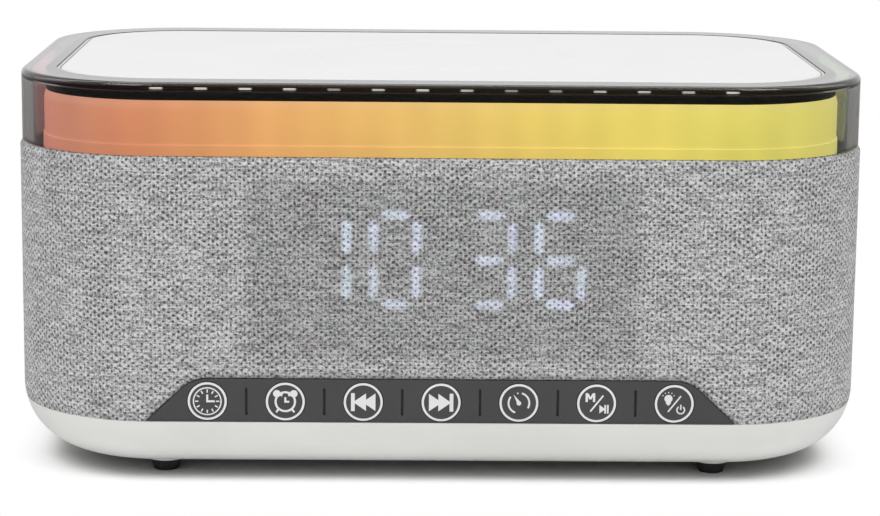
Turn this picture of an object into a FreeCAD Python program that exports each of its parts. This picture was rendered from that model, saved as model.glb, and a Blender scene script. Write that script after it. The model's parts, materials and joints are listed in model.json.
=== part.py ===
import FreeCAD, Part
import math
import os

# A bedside alarm clock: a rounded block wrapped in grey cloth, standing on a white bowl-shaped base.
# A display shines through the cloth, seven keys sit in a dark strip below it, and a smoked clear cap
# on top covers a coloured light ring and frames a white pad that charges a phone.
# Sizes are in millimetres. X runs along the front, Y from front to back, Z up from the table.
# Every "inset" is a distance measured inwards from the outer skin of the body.

Vector = FreeCAD.Vector

# Outer body
body_width = 195.0
body_depth = 124.0
corner_radius = 33.0
bottom_radius = 15.5
cloth_bottom = 14.9
cap_height = 16.3

# Walls
cloth_thickness = 0.8
cabinet_wall = 2.2
base_wall = 2.4
lip_wall = 1.4
lip_rise = 2.4
lip_root = 4.0
deck_thickness = 2.2
deck_drop = 1.4

# Clearances and overruns
seam_clearance = 0.15
fit_clearance = 0.1
window_clearance = 0.2
screw_clearance = 0.05
overrun = 5.0
weld = 0.6

# Feet
foot_height = 2.7
foot_top_radius = 3.8
foot_bottom_radius = 2.9
foot_spigot_radius = 2.2
foot_spigot_length = 1.2
foot_boss_radius = 4.5
foot_boss_drop = 0.1
foot_side_inset = 34.3
foot_front_inset = 16.9

# Screws
base_screw_radius = 1.5
base_screw_head_radius = 2.8
base_screw_head_height = 2.0
base_screw_length = 14.0
base_screw_side_inset = 27.0
base_screw_front_inset = 26.5
base_pillar_radius = 4.8
base_pillar_drop = 1.1
base_pocket_depth = 5.4
cabinet_boss_height = 16.0
cabinet_web = 2.0
board_screw_radius = 1.0
board_screw_head_radius = 1.9
board_screw_head_height = 1.3
board_screw_length = 7.0
board_boss_radius = 2.4
board_thickness = 1.6

# Key strip and keys
strip_inset = 0.3
strip_thickness = 1.6
strip_end_margin = 3.4
strip_flank = 10.6
strip_corner_radius = 9.0
strip_height = 10.1
groove_width = 0.6
groove_length = 6.2
groove_depth = 0.7
key_names = ["clock", "alarm", "previous", "next", "sleep", "mode_play", "light_power"]
key_pitch = 17.5
key_radius = 4.4
key_thickness = 1.1
key_rise = 4.85
key_stem_radius = 1.5
key_travel = 0.4
key_clearance = 0.2
stem_clearance = 0.25
plunger_inset = 5.6
plunger_radius = 1.6
plunger_reach = 1.1
plunger_seat = 1.0
switch_size = 6.0
switch_depth = 3.4
key_board_margin = 3.6
key_board_half_height = 5.9

# Display behind the cloth
window_half_width = 44.0
window_low_gap = 4.3
window_high_gap = 3.7
filter_thickness = 0.5
display_depth = 8.0
display_board_side_margin = 7.0
display_board_margin = 1.3
display_boss_side_margin = 3.6
display_boss_inset = 4.8
digit_drop = 17.7
digit_height = 22.7
digit_width = 12.0
digit_stroke = 2.4
segment_gap = 0.9
segment_depth = 1.5
digit_centres = [-26.2, -10.6, 10.6, 26.2]
shown_digits = "1036"
colon_half_spacing = 4.2
colon_radius = 1.3
display_led_size = 1.6
display_led_height = 0.8

# Loudspeakers, one firing through each side wall
speaker_floor = 18.5
speaker_headroom = 0.1
speaker_mouth_radius = 20.3
speaker_screw_margin = 0.4
speaker_flange_margin = 0.2
speaker_ring_margin = 0.6
speaker_ring_height = 3.0
speaker_flange_thickness = 1.5
basket_wall = 1.2
basket_collar_depth = 3.3
basket_depth = 12.0
basket_back_radius = 13.5
basket_back_opening = 8.0
basket_window_half_angle = 26.0
plate_thickness = 1.2
magnet_radius = 14.0
magnet_inner_radius = 8.0
magnet_height = 5.6
pole_radius = 5.6
coil_radius = 6.0
coil_wall = 0.35
coil_gap = 0.5
coil_length = 7.0
surround_width = 3.3
cone_thickness = 0.5
cone_rim_depth = 2.6
cone_neck_depth = 8.2
cone_travel = 0.8
cone_clearance = 0.3
surround_thickness = 0.4
cap_rise = 1.8
spider_thickness = 0.4
slot_width = 2.0
slot_pitch = 4.0
slot_field_margin = 1.8

# Clear cap, light ring and charging pad
cap_inset = 0.5
cap_wall = 2.5
cap_flange = 2.2
cap_edge_radius = 1.2
cap_step_rise = 0.1
diffuser_inset = 5.6
diffuser_wall = 2.0
diffuser_height = 13.2
diffuser_bevel = 0.5
diffuser_bevel_height = 1.7
diffuser_foot_width = 0.3
diffuser_foot_height = 3.2
mouth_inset = 8.6
shade_lip_width = 0.6
shade_lip_drop = 0.3
pad_thickness = 2.4
pad_edge_radius = 0.9
mark_radius = 31.0
mark_half_width = 1.6
mark_depth = 0.35
drum_inset = 15.0
drum_wall = 2.0
drum_shelf_drop = 3.0
drum_shelf_thickness = 1.5
drum_screw_side_inset = 37.5
drum_screw_front_inset = 34.0
drum_boss_radius = 3.2
light_board_inset = 8.6
light_board_width = 6.0
light_board_thickness = 1.0
led_size = 3.0
led_height = 1.2
led_pitch = 10.0
winding_outer_radius = 22.0
winding_inner_radius = 10.5
winding_thickness = 1.6
ferrite_radius = 25.0
ferrite_thickness = 1.0
charge_board_half_width = 32.0
charge_board_half_depth = 20.0
charge_board_drop = 2.5
cable_hole_radius = 6.0

# Main circuit board and the sockets at the back
main_board_rise = 2.7
main_board_half_width = 44.0
main_board_front = -18.0
main_board_gap = 6.4
main_post_radius = 3.0
main_post_margin = 4.0
main_post_front_margin = 14.0
port_half_width = 24.0
port_drop = 2.2
port_rise = 7.6
port_corner = 3.0
port_ledge = 1.5
socket_inset = 0.6
usb_a_x = -9.0
usb_a_width = 13.1
usb_a_height = 5.7
usb_a_depth = 14.0
usb_a_wall = 0.35
usb_a_tongue = 1.8
usb_c_x = 11.0
usb_c_width = 8.9
usb_c_height = 3.2
usb_c_depth = 7.5
usb_c_wall = 0.3
usb_c_tongue = 0.7
cell_radius = 10.0
cell_thickness = 3.2
cell_holder_wall = 1.2
cell_side_inset = 19.0
cell_front_inset = 22.0
chip_sizes = [(12.0, 12.0, 1.4), (9.0, 9.0, 1.2), (6.0, 5.0, 1.6), (10.0, 6.0, 1.5)]
chip_place_shares = [(0.59, 0.27), (0.82, 0.3), (0.8, 0.56), (0.48, 0.54)]
can_radius = 3.2
can_height = 7.0
can_place_shares = [(0.68, 0.64), (0.89, 0.43)]
key_boss_shares = [-3.5, -1.5, 1.5, 3.5]

# Places that follow from the sizes above
half_width = body_width / 2
half_depth = body_depth / 2
front = -half_depth
back = half_depth
underside_height = foot_height + foot_boss_drop
foot_x = half_width - foot_side_inset
foot_y = half_depth - foot_front_inset
base_screw_x = half_width - base_screw_side_inset
base_screw_y = half_depth - base_screw_front_inset
base_pillar_top = cloth_bottom - base_pillar_drop
cabinet_inset = cloth_thickness + cabinet_wall
lip_inset = cabinet_inset + seam_clearance
lip_top = cloth_bottom + lip_rise

speaker_screw_circle = speaker_mouth_radius + basket_wall + board_screw_head_radius + speaker_screw_margin
speaker_flange_radius = speaker_screw_circle + board_screw_head_radius + speaker_flange_margin
speaker_ring_radius = speaker_flange_radius + speaker_ring_margin
speaker_height = speaker_floor + speaker_ring_radius
slot_field_radius = speaker_mouth_radius - slot_field_margin
cone_radius = speaker_mouth_radius - surround_width
spider_depth = cone_neck_depth + cone_thickness + cone_travel + fit_clearance

deck_top = speaker_height + speaker_ring_radius + speaker_headroom + deck_thickness
cloth_top = deck_top + deck_drop
body_height = cloth_top + cap_height
flange_low = body_height - cap_flange
diffuser_top = deck_top + diffuser_height
shade_inner = mouth_inset + fit_clearance + shade_lip_width
pad_inset = shade_inner + fit_clearance
pad_low = body_height - pad_thickness
drum_screw_x = half_width - drum_screw_side_inset
drum_screw_y = half_depth - drum_screw_front_inset

key_places = [(number - (len(key_names) - 1) / 2) * key_pitch for number in range(len(key_names))]
key_boss_x = [share * key_pitch for share in key_boss_shares]
key_height = cloth_bottom + key_rise
strip_top = cloth_bottom + strip_height
strip_top_half = key_places[-1] + strip_end_margin
strip_bottom_half = strip_top_half + strip_flank
strip_back = strip_inset + strip_thickness
switch_front = front + plunger_inset + plunger_reach
key_board_front = switch_front + switch_depth
key_board_half_width = key_boss_x[-1] + key_board_margin

window_low = strip_top + window_low_gap
window_high = deck_top - window_high_gap
filter_front = front + cloth_thickness + fit_clearance
display_front = filter_front + filter_thickness
display_board_front = display_front + display_depth
display_board_half_width = window_half_width + display_board_side_margin
display_boss_x = window_half_width + display_boss_side_margin
digit_middle = window_high - digit_drop

main_board_top = cloth_bottom + main_board_rise
main_board_low = main_board_top - board_thickness
main_board_back = back - main_board_gap
cell_x = -main_board_half_width + cell_side_inset
cell_y = main_board_front + cell_front_inset
port_low = main_board_top - port_drop
port_high = main_board_top + port_rise


def rounded_block(inset, z_low, z_high):
    """An upright block with the body's plan, taken in by the inset."""
    half_x = half_width - inset
    half_y = half_depth - inset
    radius = corner_radius - inset
    return rounded_prism(half_x, half_y, radius, z_low, z_high)


def rounded_prism(half_x, half_y, radius, z_low, z_high):
    """An upright block with a round-cornered rectangle as its plan, centred on the Z axis."""
    straight_x = half_x - radius
    straight_y = half_y - radius
    centres = [(straight_x, straight_y), (-straight_x, straight_y),
               (-straight_x, -straight_y), (straight_x, -straight_y)]
    arcs = []
    for quarter, (x, y) in enumerate(centres):
        start = quarter * math.pi / 2
        circle = Part.Circle(Vector(x, y, z_low), Vector(0, 0, 1), radius)
        arcs.append(Part.Arc(circle, start, start + math.pi / 2))
    edges = []
    for quarter, arc in enumerate(arcs):
        following = arcs[(quarter + 1) % len(arcs)]
        edges.append(arc.toShape())
        edges.append(Part.LineSegment(arc.EndPoint, following.StartPoint).toShape())
    plan = Part.Face(Part.Wire(edges))
    return plan.extrude(Vector(0, 0, z_high - z_low))


def body_block(inset):
    """The whole body taken in by the inset, with its rounded underside."""
    low = underside_height + inset
    block = rounded_block(inset, low, body_height)
    bottom_edges = [edge for edge in block.Edges if edge.BoundBox.ZMax < low + fit_clearance]
    return block.makeFillet(bottom_radius - inset, bottom_edges)


def slab(z_low, z_high):
    """A plate wider than the body, used to keep what lies between two heights."""
    corner = Vector(-half_width - overrun, -half_depth - overrun, z_low)
    return Part.makeBox(body_width + 2 * overrun, body_depth + 2 * overrun, z_high - z_low, corner)


def layer(outer_inset, inner_inset, z_low, z_high):
    """The shell between two insets of the body, between two heights."""
    return body_block(outer_inset).cut(body_block(inner_inset)).common(slab(z_low, z_high))


def ring(outer_inset, inner_inset, z_low, z_high):
    """A wall that follows the body's plan between two insets, with upright sides."""
    outer = rounded_block(outer_inset, z_low, z_high)
    return outer.cut(rounded_block(inner_inset, z_low, z_high))


def box(x_low, x_high, y_low, y_high, z_low, z_high):
    """A block given by its limits."""
    return Part.makeBox(x_high - x_low, y_high - y_low, z_high - z_low, Vector(x_low, y_low, z_low))


def disc(x, y, z_low, z_high, radius):
    """An upright cylinder."""
    return Part.makeCylinder(radius, z_high - z_low, Vector(x, y, z_low))


def rod(x, z, y_low, y_high, radius):
    """A cylinder that lies along Y."""
    return Part.makeCylinder(radius, y_high - y_low, Vector(x, y_low, z), Vector(0, 1, 0))


def fuse_all(shapes):
    """One solid from several that overlap."""
    joined = shapes[0]
    for shape in shapes[1:]:
        joined = joined.fuse(shape)
    return joined.removeSplitter()


def cut_all(shape, tools):
    """A shape with every tool taken out of it."""
    return shape.cut(tools) if tools else shape


def four_corners(x, y):
    """The four mirrored places of a point."""
    return [(sx * x, sy * y) for sx in (-1, 1) for sy in (-1, 1)]


def strip_outline(grow, y_low, y_high):
    """The key strip's outline, a bar with sloping ends and rounded shoulders, extruded along Y."""
    low = cloth_bottom - grow
    high = strip_top + grow
    slope = math.atan2(strip_top - cloth_bottom, strip_bottom_half - strip_top_half)
    side_shift = grow / math.sin(slope)
    foot = strip_bottom_half + side_shift + grow / math.tan(slope)
    shoulder = strip_top_half + side_shift - grow / math.tan(slope)
    radius = strip_corner_radius + grow
    tangent = radius * math.tan(slope / 2)
    on_side = (shoulder + tangent * math.cos(slope), high - tangent * math.sin(slope))
    on_top = (shoulder - tangent, high)
    on_arc = (on_top[0] + radius * math.sin(slope / 2), high - radius + radius * math.cos(slope / 2))

    def at(x, z):
        return Vector(x, y_low, z)

    edges = [
        Part.LineSegment(at(-foot, low), at(foot, low)),
        Part.LineSegment(at(foot, low), at(*on_side)),
        Part.Arc(at(*on_side), at(*on_arc), at(*on_top)),
        Part.LineSegment(at(*on_top), at(-on_top[0], high)),
        Part.Arc(at(-on_top[0], high), at(-on_arc[0], on_arc[1]), at(-on_side[0], on_side[1])),
        Part.LineSegment(at(-on_side[0], on_side[1]), at(-foot, low)),
    ]
    face = Part.Face(Part.Wire([edge.toShape() for edge in edges]))
    return face.extrude(Vector(0, y_high - y_low, 0))


def port_outline(shrink, y_low, y_high):
    """The rear socket panel's outline, a round-cornered bar extruded along Y."""
    bar = box(-port_half_width + shrink, port_half_width - shrink, y_low, y_high,
              port_low + shrink, port_high - shrink)
    return bar.makeFillet(port_corner - shrink, [edge for edge in bar.Edges if is_along_y(edge)])


def is_along_y(edge):
    """True for a straight edge that runs from front to back."""
    bounds = edge.BoundBox
    return bounds.YLength > bounds.XLength + bounds.ZLength


def pan_screw(shank_radius, head_radius, head_height, length):
    """A screw standing head down at the origin, with its shank pointing up."""
    head = Part.makeCylinder(head_radius, head_height)
    shank = Part.makeCylinder(shank_radius, length, Vector(0, 0, head_height))
    return head.fuse(shank).removeSplitter()


def placed(shape, position, direction):
    """A copy of a shape that stands on the origin, moved to a position with its Z axis turned."""
    turned = shape.copy()
    turn = FreeCAD.Rotation(Vector(0, 0, 1), direction)
    turned.Placement = FreeCAD.Placement(position, turn).multiply(turned.Placement)
    return turned


def base_shell():
    """The white bowl: floor, rounded wall, locating lip, screw pillars, board posts and foot bosses."""
    pieces = [layer(0, base_wall, underside_height, cloth_bottom)]
    pieces.append(layer(base_wall - weld, lip_inset + lip_wall, cloth_bottom - lip_root, cloth_bottom))
    pieces.append(layer(lip_inset, lip_inset + lip_wall, cloth_bottom - weld, lip_top))
    inside = body_block(base_wall / 2)
    for x, y in four_corners(base_screw_x, base_screw_y):
        pieces.append(disc(x, y, underside_height, base_pillar_top, base_pillar_radius).common(inside))
    for x, y in main_posts():
        post = disc(x, y, underside_height, main_board_low, main_post_radius)
        pieces.append(post.common(inside))
    for x, y in four_corners(foot_x, foot_y):
        boss_height = underside_height + base_wall - foot_height
        pieces.append(disc(x, y, foot_height, foot_height + boss_height, foot_boss_radius))
    holes = []
    for x, y in four_corners(base_screw_x, base_screw_y):
        pocket_top = underside_height + base_pocket_depth
        holes.append(disc(x, y, 0, pocket_top, base_screw_head_radius + window_clearance))
        holes.append(disc(x, y, 0, base_pillar_top + overrun, base_screw_radius + fit_clearance))
    for x, y in main_posts():
        depth = board_screw_length
        holes.append(disc(x, y, main_board_low - depth, main_board_low + overrun,
                          board_screw_radius + screw_clearance))
    for x, y in four_corners(foot_x, foot_y):
        holes.append(disc(x, y, 0, foot_height + foot_spigot_length + fit_clearance,
                          foot_spigot_radius + fit_clearance))
    return cut_all(fuse_all(pieces), holes)


def main_posts():
    """Places of the posts that carry the main board."""
    x = main_board_half_width - main_post_margin
    y_front = main_board_front + main_post_margin
    y_back = main_board_back - main_post_front_margin
    return [(-x, y_front), (x, y_front), (-x, y_back), (x, y_back)]


def rubber_feet():
    """Four tapered rubber feet, each with a spigot pressed into its boss."""
    feet = []
    for x, y in four_corners(foot_x, foot_y):
        pad = Part.makeCone(foot_bottom_radius, foot_top_radius, foot_height, Vector(x, y, 0))
        spigot = disc(x, y, foot_height - weld, foot_height + foot_spigot_length, foot_spigot_radius)
        feet.append(pad.fuse(spigot).removeSplitter())
    return feet


def base_screws():
    """Four long screws that hold the base to the cabinet."""
    screw = pan_screw(base_screw_radius, base_screw_head_radius, base_screw_head_height, base_screw_length)
    z = underside_height + base_pocket_depth - base_screw_head_height
    return [placed(screw, Vector(x, y, z), Vector(0, 0, 1)) for x, y in four_corners(base_screw_x, base_screw_y)]


def cabinet():
    """The inner housing that the cloth is stretched over, closed on top by a deck."""
    inner = body_block(cloth_thickness)
    pieces = [layer(cloth_thickness, cabinet_inset, cloth_bottom, deck_top)]
    pieces.append(inner.common(slab(deck_top - deck_thickness, deck_top)))
    for x, y in four_corners(base_screw_x, base_screw_y):
        pieces.append(corner_boss(x, y, inner))
    for x in key_boss_x:
        pieces.append(rod(x, key_height, front + cloth_thickness + weld, key_board_front, board_boss_radius)
                      .common(inner))
    for x, z in display_screw_places():
        pieces.append(rod(x, z, front + cloth_thickness + weld, display_board_front, board_boss_radius))
    for side in (-1, 1):
        pieces.append(speaker_seat(side))
    holes = [pilot for pilot in cabinet_pilots()]
    holes.append(box(-window_half_width, window_half_width, front - overrun, front + cabinet_inset + weld,
                     window_low, window_high))
    holes.append(strip_outline(0, front - overrun, 0).cut(body_block(strip_back)))
    for x in key_places:
        holes.append(rod(x, key_height, front, front + cabinet_inset + weld, key_stem_radius + stem_clearance))
    for side in (-1, 1):
        holes.extend(speaker_slots(side))
    holes.append(port_outline(0, 0, back + overrun).cut(body_block(strip_back)))
    holes.append(port_outline(port_ledge, back - cabinet_inset - weld, back + overrun))
    holes.append(disc(0, 0, deck_top - deck_thickness - weld, deck_top + weld, cable_hole_radius))
    for x, y in four_corners(drum_screw_x, drum_screw_y):
        holes.append(disc(x, y, deck_top - deck_thickness - weld, deck_top + weld,
                          board_screw_radius + fit_clearance))
    return cut_all(fuse_all(pieces), holes)


def corner_boss(x, y, inner):
    """A boss for a base screw, joined to the cabinet's corner by a web."""
    top = base_pillar_top + fit_clearance + cabinet_boss_height
    boss = disc(x, y, base_pillar_top + fit_clearance, top, base_pillar_radius)
    outward = Vector(math.copysign(half_width - corner_radius, x), math.copysign(half_depth - corner_radius, y), 0)
    direction = Vector(x, y, 0) - outward
    length = corner_radius - direction.Length - cloth_thickness - weld
    web = Part.makeBox(length, cabinet_web, top - lip_top - window_clearance,
                       Vector(0, -cabinet_web / 2, lip_top + window_clearance))
    web.rotate(Vector(0, 0, 0), Vector(0, 0, 1), math.degrees(math.atan2(direction.y, direction.x)))
    web.translate(Vector(x, y, 0))
    return boss.fuse(web).common(inner)


def cabinet_pilots():
    """The blind holes that the base, key board, display and speaker screws cut their thread in."""
    pilots = []
    for x, y in four_corners(base_screw_x, base_screw_y):
        reach = underside_height + base_pocket_depth + base_screw_length
        pilots.append(disc(x, y, base_pillar_top, reach + fit_clearance, base_screw_radius + screw_clearance))
    radius = board_screw_radius + screw_clearance
    for x in key_boss_x:
        depth = board_screw_length - board_thickness + fit_clearance
        pilots.append(rod(x, key_height, key_board_front - depth, key_board_front + weld, radius))
    for x, z in display_screw_places():
        depth = board_screw_length - board_thickness + fit_clearance
        pilots.append(rod(x, z, display_board_front - depth, display_board_front + weld, radius))
    return pilots


def display_screw_places():
    """Places of the four display screws, as X and height."""
    heights = (window_low + display_boss_inset, window_high - display_boss_inset)
    return [(sx * display_boss_x, z) for sx in (-1, 1) for z in heights]


def speaker_axis_place(side, depth):
    """A point on a speaker's axis, at a depth behind the face of its flange."""
    seat = half_width - cabinet_inset - speaker_ring_height
    return Vector(side * (seat - depth), 0, speaker_height)


def speaker_turned(side, profile):
    """A round speaker part from its half section, given as radius and depth behind the flange face."""
    points = [Vector(radius, 0, -depth) for radius, depth in profile]
    face = Part.Face(Part.makePolygon(points + points[:1]))
    return speaker_spun(side, face)


def speaker_spun(side, face):
    """A half section in the XZ plane spun about Z and laid on a speaker's axis."""
    spun = face.revolve(Vector(0, 0, 0), Vector(0, 0, 1), 360)
    return placed(spun, speaker_axis_place(side, 0), Vector(side, 0, 0))


def speaker_seat(side):
    """The raised ring on the cabinet's side wall that a speaker is screwed to."""
    profile = [(speaker_mouth_radius, 0), (speaker_ring_radius, 0),
               (speaker_ring_radius, -speaker_ring_height - weld), (speaker_mouth_radius, -speaker_ring_height - weld)]
    seat = speaker_turned(side, profile)
    pilots = [speaker_bar(side, angle, -speaker_ring_height - weld, fit_clearance,
                          board_screw_radius + screw_clearance) for angle in speaker_screw_angles()]
    return seat.cut(pilots)


def speaker_screw_angles():
    """Directions of a speaker's four screws round its axis."""
    quarter = math.pi / 2
    return [quarter / 2 + number * quarter for number in range(4)]


def speaker_bar(side, angle, depth_low, depth_high, radius):
    """A pin parallel to a speaker's axis, on its screw circle."""
    place = speaker_axis_place(side, depth_high)
    offset = Vector(0, speaker_screw_circle * math.cos(angle), speaker_screw_circle * math.sin(angle))
    return Part.makeCylinder(radius, depth_high - depth_low, place + offset, Vector(side, 0, 0))


def speaker_slots(side):
    """Round-ended slots in the side wall, cut to fill a circle."""
    slots = []
    count = int(slot_field_radius // slot_pitch)
    for number in range(-count, count + 1):
        rise = number * slot_pitch
        half_length = math.sqrt(slot_field_radius ** 2 - rise ** 2) - slot_width / 2
        x_low = min(side * half_width, side * (half_width - cabinet_inset - weld))
        x_high = max(side * half_width, side * (half_width - cabinet_inset - weld))
        z = speaker_height + rise
        bar = box(x_low, x_high, -half_length, half_length, z - slot_width / 2, z + slot_width / 2)
        ends = [Part.makeCylinder(slot_width / 2, x_high - x_low, Vector(x_low, y, z), Vector(1, 0, 0))
                for y in (-half_length, half_length)]
        slots.append(fuse_all([bar] + ends))
    return slots


def fabric_cover():
    """The woven sleeve, open above the key strip and round the rear sockets."""
    sleeve = layer(0, cloth_thickness, cloth_bottom, cloth_top)
    return sleeve.cut([strip_outline(0, front - overrun, 0), port_outline(0, 0, back + overrun)])


def key_strip():
    """The dark strip that the keys move in, with a groove between each pair of keys."""
    strip = strip_outline(-fit_clearance, front - overrun, 0)
    strip = strip.common(body_block(strip_inset)).cut(body_block(strip_back))
    holes = [rod(x, key_height, front - overrun, 0, key_radius + key_clearance) for x in key_places]
    for left, right in zip(key_places, key_places[1:]):
        middle = (left + right) / 2
        groove = box(middle - groove_width / 2, middle + groove_width / 2, front - overrun,
                     front + strip_inset + groove_depth,
                     key_height - groove_length / 2, key_height + groove_length / 2)
        upright = [edge for edge in groove.Edges if is_along_y(edge)]
        holes.append(groove.makeFillet(groove_width / 2 - screw_clearance, upright))
    return strip.cut(holes)


def key(x):
    """One round key whose face follows the body, with the stem that presses its switch."""
    cap = rod(x, key_height, front - overrun, 0, key_radius).common(body_block(strip_inset))
    cap = cap.cut(body_block(strip_inset + key_thickness))
    stem = rod(x, key_height, front + strip_inset + key_thickness - weld, front + plunger_inset, key_stem_radius)
    return cap.fuse(stem).removeSplitter()


def plunger(x):
    """The moving pin of a key's switch."""
    return rod(x, key_height, front + plunger_inset, switch_front + plunger_seat, plunger_radius)


def key_switches():
    """The seven switch housings on the key board, each bored for its plunger."""
    half = switch_size / 2
    switches = []
    for x in key_places:
        housing = box(x - half, x + half, switch_front, key_board_front, key_height - half, key_height + half)
        depth = plunger_seat + key_travel + fit_clearance
        bore = rod(x, key_height, switch_front - weld, switch_front + depth, plunger_radius + fit_clearance)
        switches.append(housing.cut(bore))
    return switches


def key_board():
    """The upright circuit board behind the keys."""
    board = box(-key_board_half_width, key_board_half_width, key_board_front, key_board_front + board_thickness,
                key_height - key_board_half_height, key_height + key_board_half_height)
    holes = [rod(x, key_height, key_board_front - weld, key_board_front + board_thickness + weld,
                 board_screw_radius + fit_clearance) for x in key_boss_x]
    return board.cut(holes)


def board_screws():
    """The small screws of the key board, display and main board."""
    screw = pan_screw(board_screw_radius, board_screw_head_radius, board_screw_head_height, board_screw_length)
    screws = []
    for x in key_boss_x:
        y = key_board_front + board_thickness + board_screw_head_height
        screws.append(placed(screw, Vector(x, y, key_height), Vector(0, -1, 0)))
    for x, z in display_screw_places():
        y = display_board_front + board_thickness + board_screw_head_height
        screws.append(placed(screw, Vector(x, y, z), Vector(0, -1, 0)))
    for x, y in main_posts():
        z = main_board_top + board_screw_head_height
        screws.append(placed(screw, Vector(x, y, z), Vector(0, 0, -1)))
    return screws


def segment_places(centre):
    """A digit's seven bars as name: (middle x, middle z, lies flat)."""
    side = (digit_width - digit_stroke) / 2
    rise = (digit_height - digit_stroke) / 2
    return {
        "a": (centre, digit_middle + rise, True),
        "g": (centre, digit_middle, True),
        "d": (centre, digit_middle - rise, True),
        "f": (centre - side, digit_middle + rise / 2, False),
        "b": (centre + side, digit_middle + rise / 2, False),
        "e": (centre - side, digit_middle - rise / 2, False),
        "c": (centre + side, digit_middle - rise / 2, False),
    }


def segment_bar(x, z, flat, grow, y_low, y_high):
    """One bar of a digit with pointed ends, extruded along Y."""
    half_stroke = digit_stroke / 2 + grow
    if flat:
        half_length = (digit_width - digit_stroke) / 2 - segment_gap / 2 + grow
    else:
        half_length = (digit_height - digit_stroke) / 4 - segment_gap / 2 + grow
    waist = half_length - half_stroke
    corners = [(half_length, 0), (waist, half_stroke), (-waist, half_stroke),
               (-half_length, 0), (-waist, -half_stroke), (waist, -half_stroke)]
    if not flat:
        corners = [(across, along) for along, across in corners]
    points = [Vector(x + across, y_low, z + along) for across, along in corners]
    face = Part.Face(Part.makePolygon(points + points[:1]))
    return face.extrude(Vector(0, y_high - y_low, 0))


def digit_bars(grow, y_low, y_high):
    """Every bar of the four digits, as two lists: the lit ones and the dark ones."""
    lit_by_digit = {"0": "abcdef", "1": "bc", "2": "abged", "3": "abgcd", "4": "fgbc",
                    "5": "afgcd", "6": "afgedc", "7": "abc", "8": "abcdefg", "9": "abcdfg"}
    lit = []
    dark = []
    for centre, digit in zip(digit_centres, shown_digits):
        for name, (x, z, flat) in segment_places(centre).items():
            bars = lit if name in lit_by_digit[digit] else dark
            bars.append(segment_bar(x, z, flat, grow, y_low, y_high))
    for sign in (-1, 1):
        z = digit_middle + sign * colon_half_spacing
        dark.append(rod(0, z, y_low, y_high, colon_radius + grow))
    return lit, dark


def display_filter():
    """The dark film in front of the digits."""
    return box(-window_half_width + window_clearance, window_half_width - window_clearance,
               filter_front, display_front, window_low + window_clearance, window_high - window_clearance)


def display_housing():
    """The black block of light wells, one for each bar of the digits."""
    block = box(-window_half_width + window_clearance, window_half_width - window_clearance,
                display_front, display_board_front, window_low + window_clearance, window_high - window_clearance)
    lit, dark = digit_bars(0, display_front - weld, display_board_front + weld)
    return block.cut(lit + dark)


def display_bars():
    """The milky bars that fill the mouths of the light wells: lit and dark."""
    return digit_bars(-screw_clearance, display_front, display_front + segment_depth)


def display_board():
    """The circuit board behind the display."""
    low = window_low - display_board_margin
    high = window_high + display_board_margin - seam_clearance
    board = box(-display_board_half_width, display_board_half_width,
                display_board_front, display_board_front + board_thickness, low, high)
    holes = [rod(x, z, display_board_front - weld, display_board_front + board_thickness + weld,
                 board_screw_radius + fit_clearance) for x, z in display_screw_places()]
    return board.cut(holes)


def display_leds():
    """One small lamp at the back of each light well."""
    half = display_led_size / 2
    lamps = []
    places = [(x, z) for centre in digit_centres for x, z, flat in segment_places(centre).values()]
    places += [(0, digit_middle + sign * colon_half_spacing) for sign in (-1, 1)]
    for x, z in places:
        lamps.append(box(x - half, x + half, display_board_front - display_led_height, display_board_front,
                         z - half, z + half))
    return lamps


def speaker_frame(side):
    """The pressed basket: a flange, a tapering wall with four windows and a back ring."""
    rim = speaker_mouth_radius + basket_wall
    flange_back = speaker_flange_thickness
    floor = basket_depth - basket_wall
    section = [(speaker_mouth_radius, 0), (speaker_flange_radius, 0), (speaker_flange_radius, flange_back),
               (rim, flange_back), (rim, basket_collar_depth), (basket_back_radius, basket_depth),
               (basket_back_opening, basket_depth), (basket_back_opening, floor), (basket_radius(floor), floor),
               (speaker_mouth_radius, basket_collar_depth)]
    basket = speaker_turned(side, section)
    cuts = [basket_window(side, number) for number in range(4)]
    cuts += [speaker_bar(side, angle, -weld, speaker_flange_thickness + weld, board_screw_radius + fit_clearance)
             for angle in speaker_screw_angles()]
    return basket.cut(cuts)


def basket_radius(depth):
    """The inner radius of the basket's tapering wall at a depth."""
    share = (depth - basket_collar_depth) / (basket_depth - basket_collar_depth)
    return speaker_mouth_radius + share * (basket_back_radius - speaker_mouth_radius - basket_wall)


def basket_window(side, number):
    """A wedge that opens the basket's wall between two of its legs."""
    low = basket_collar_depth + basket_wall / 2
    high = basket_depth - 2 * basket_wall
    reach = speaker_flange_radius
    points = [Vector(basket_back_radius / 2, 0, -low), Vector(reach, 0, -low),
              Vector(reach, 0, -high), Vector(basket_back_radius / 2, 0, -high)]
    face = Part.Face(Part.makePolygon(points + points[:1]))
    wedge = face.revolve(Vector(0, 0, 0), Vector(0, 0, 1), 2 * basket_window_half_angle)
    wedge.rotate(Vector(0, 0, 0), Vector(0, 0, 1), number * 90 - basket_window_half_angle)
    return placed(wedge, speaker_axis_place(side, 0), Vector(side, 0, 0))


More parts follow.
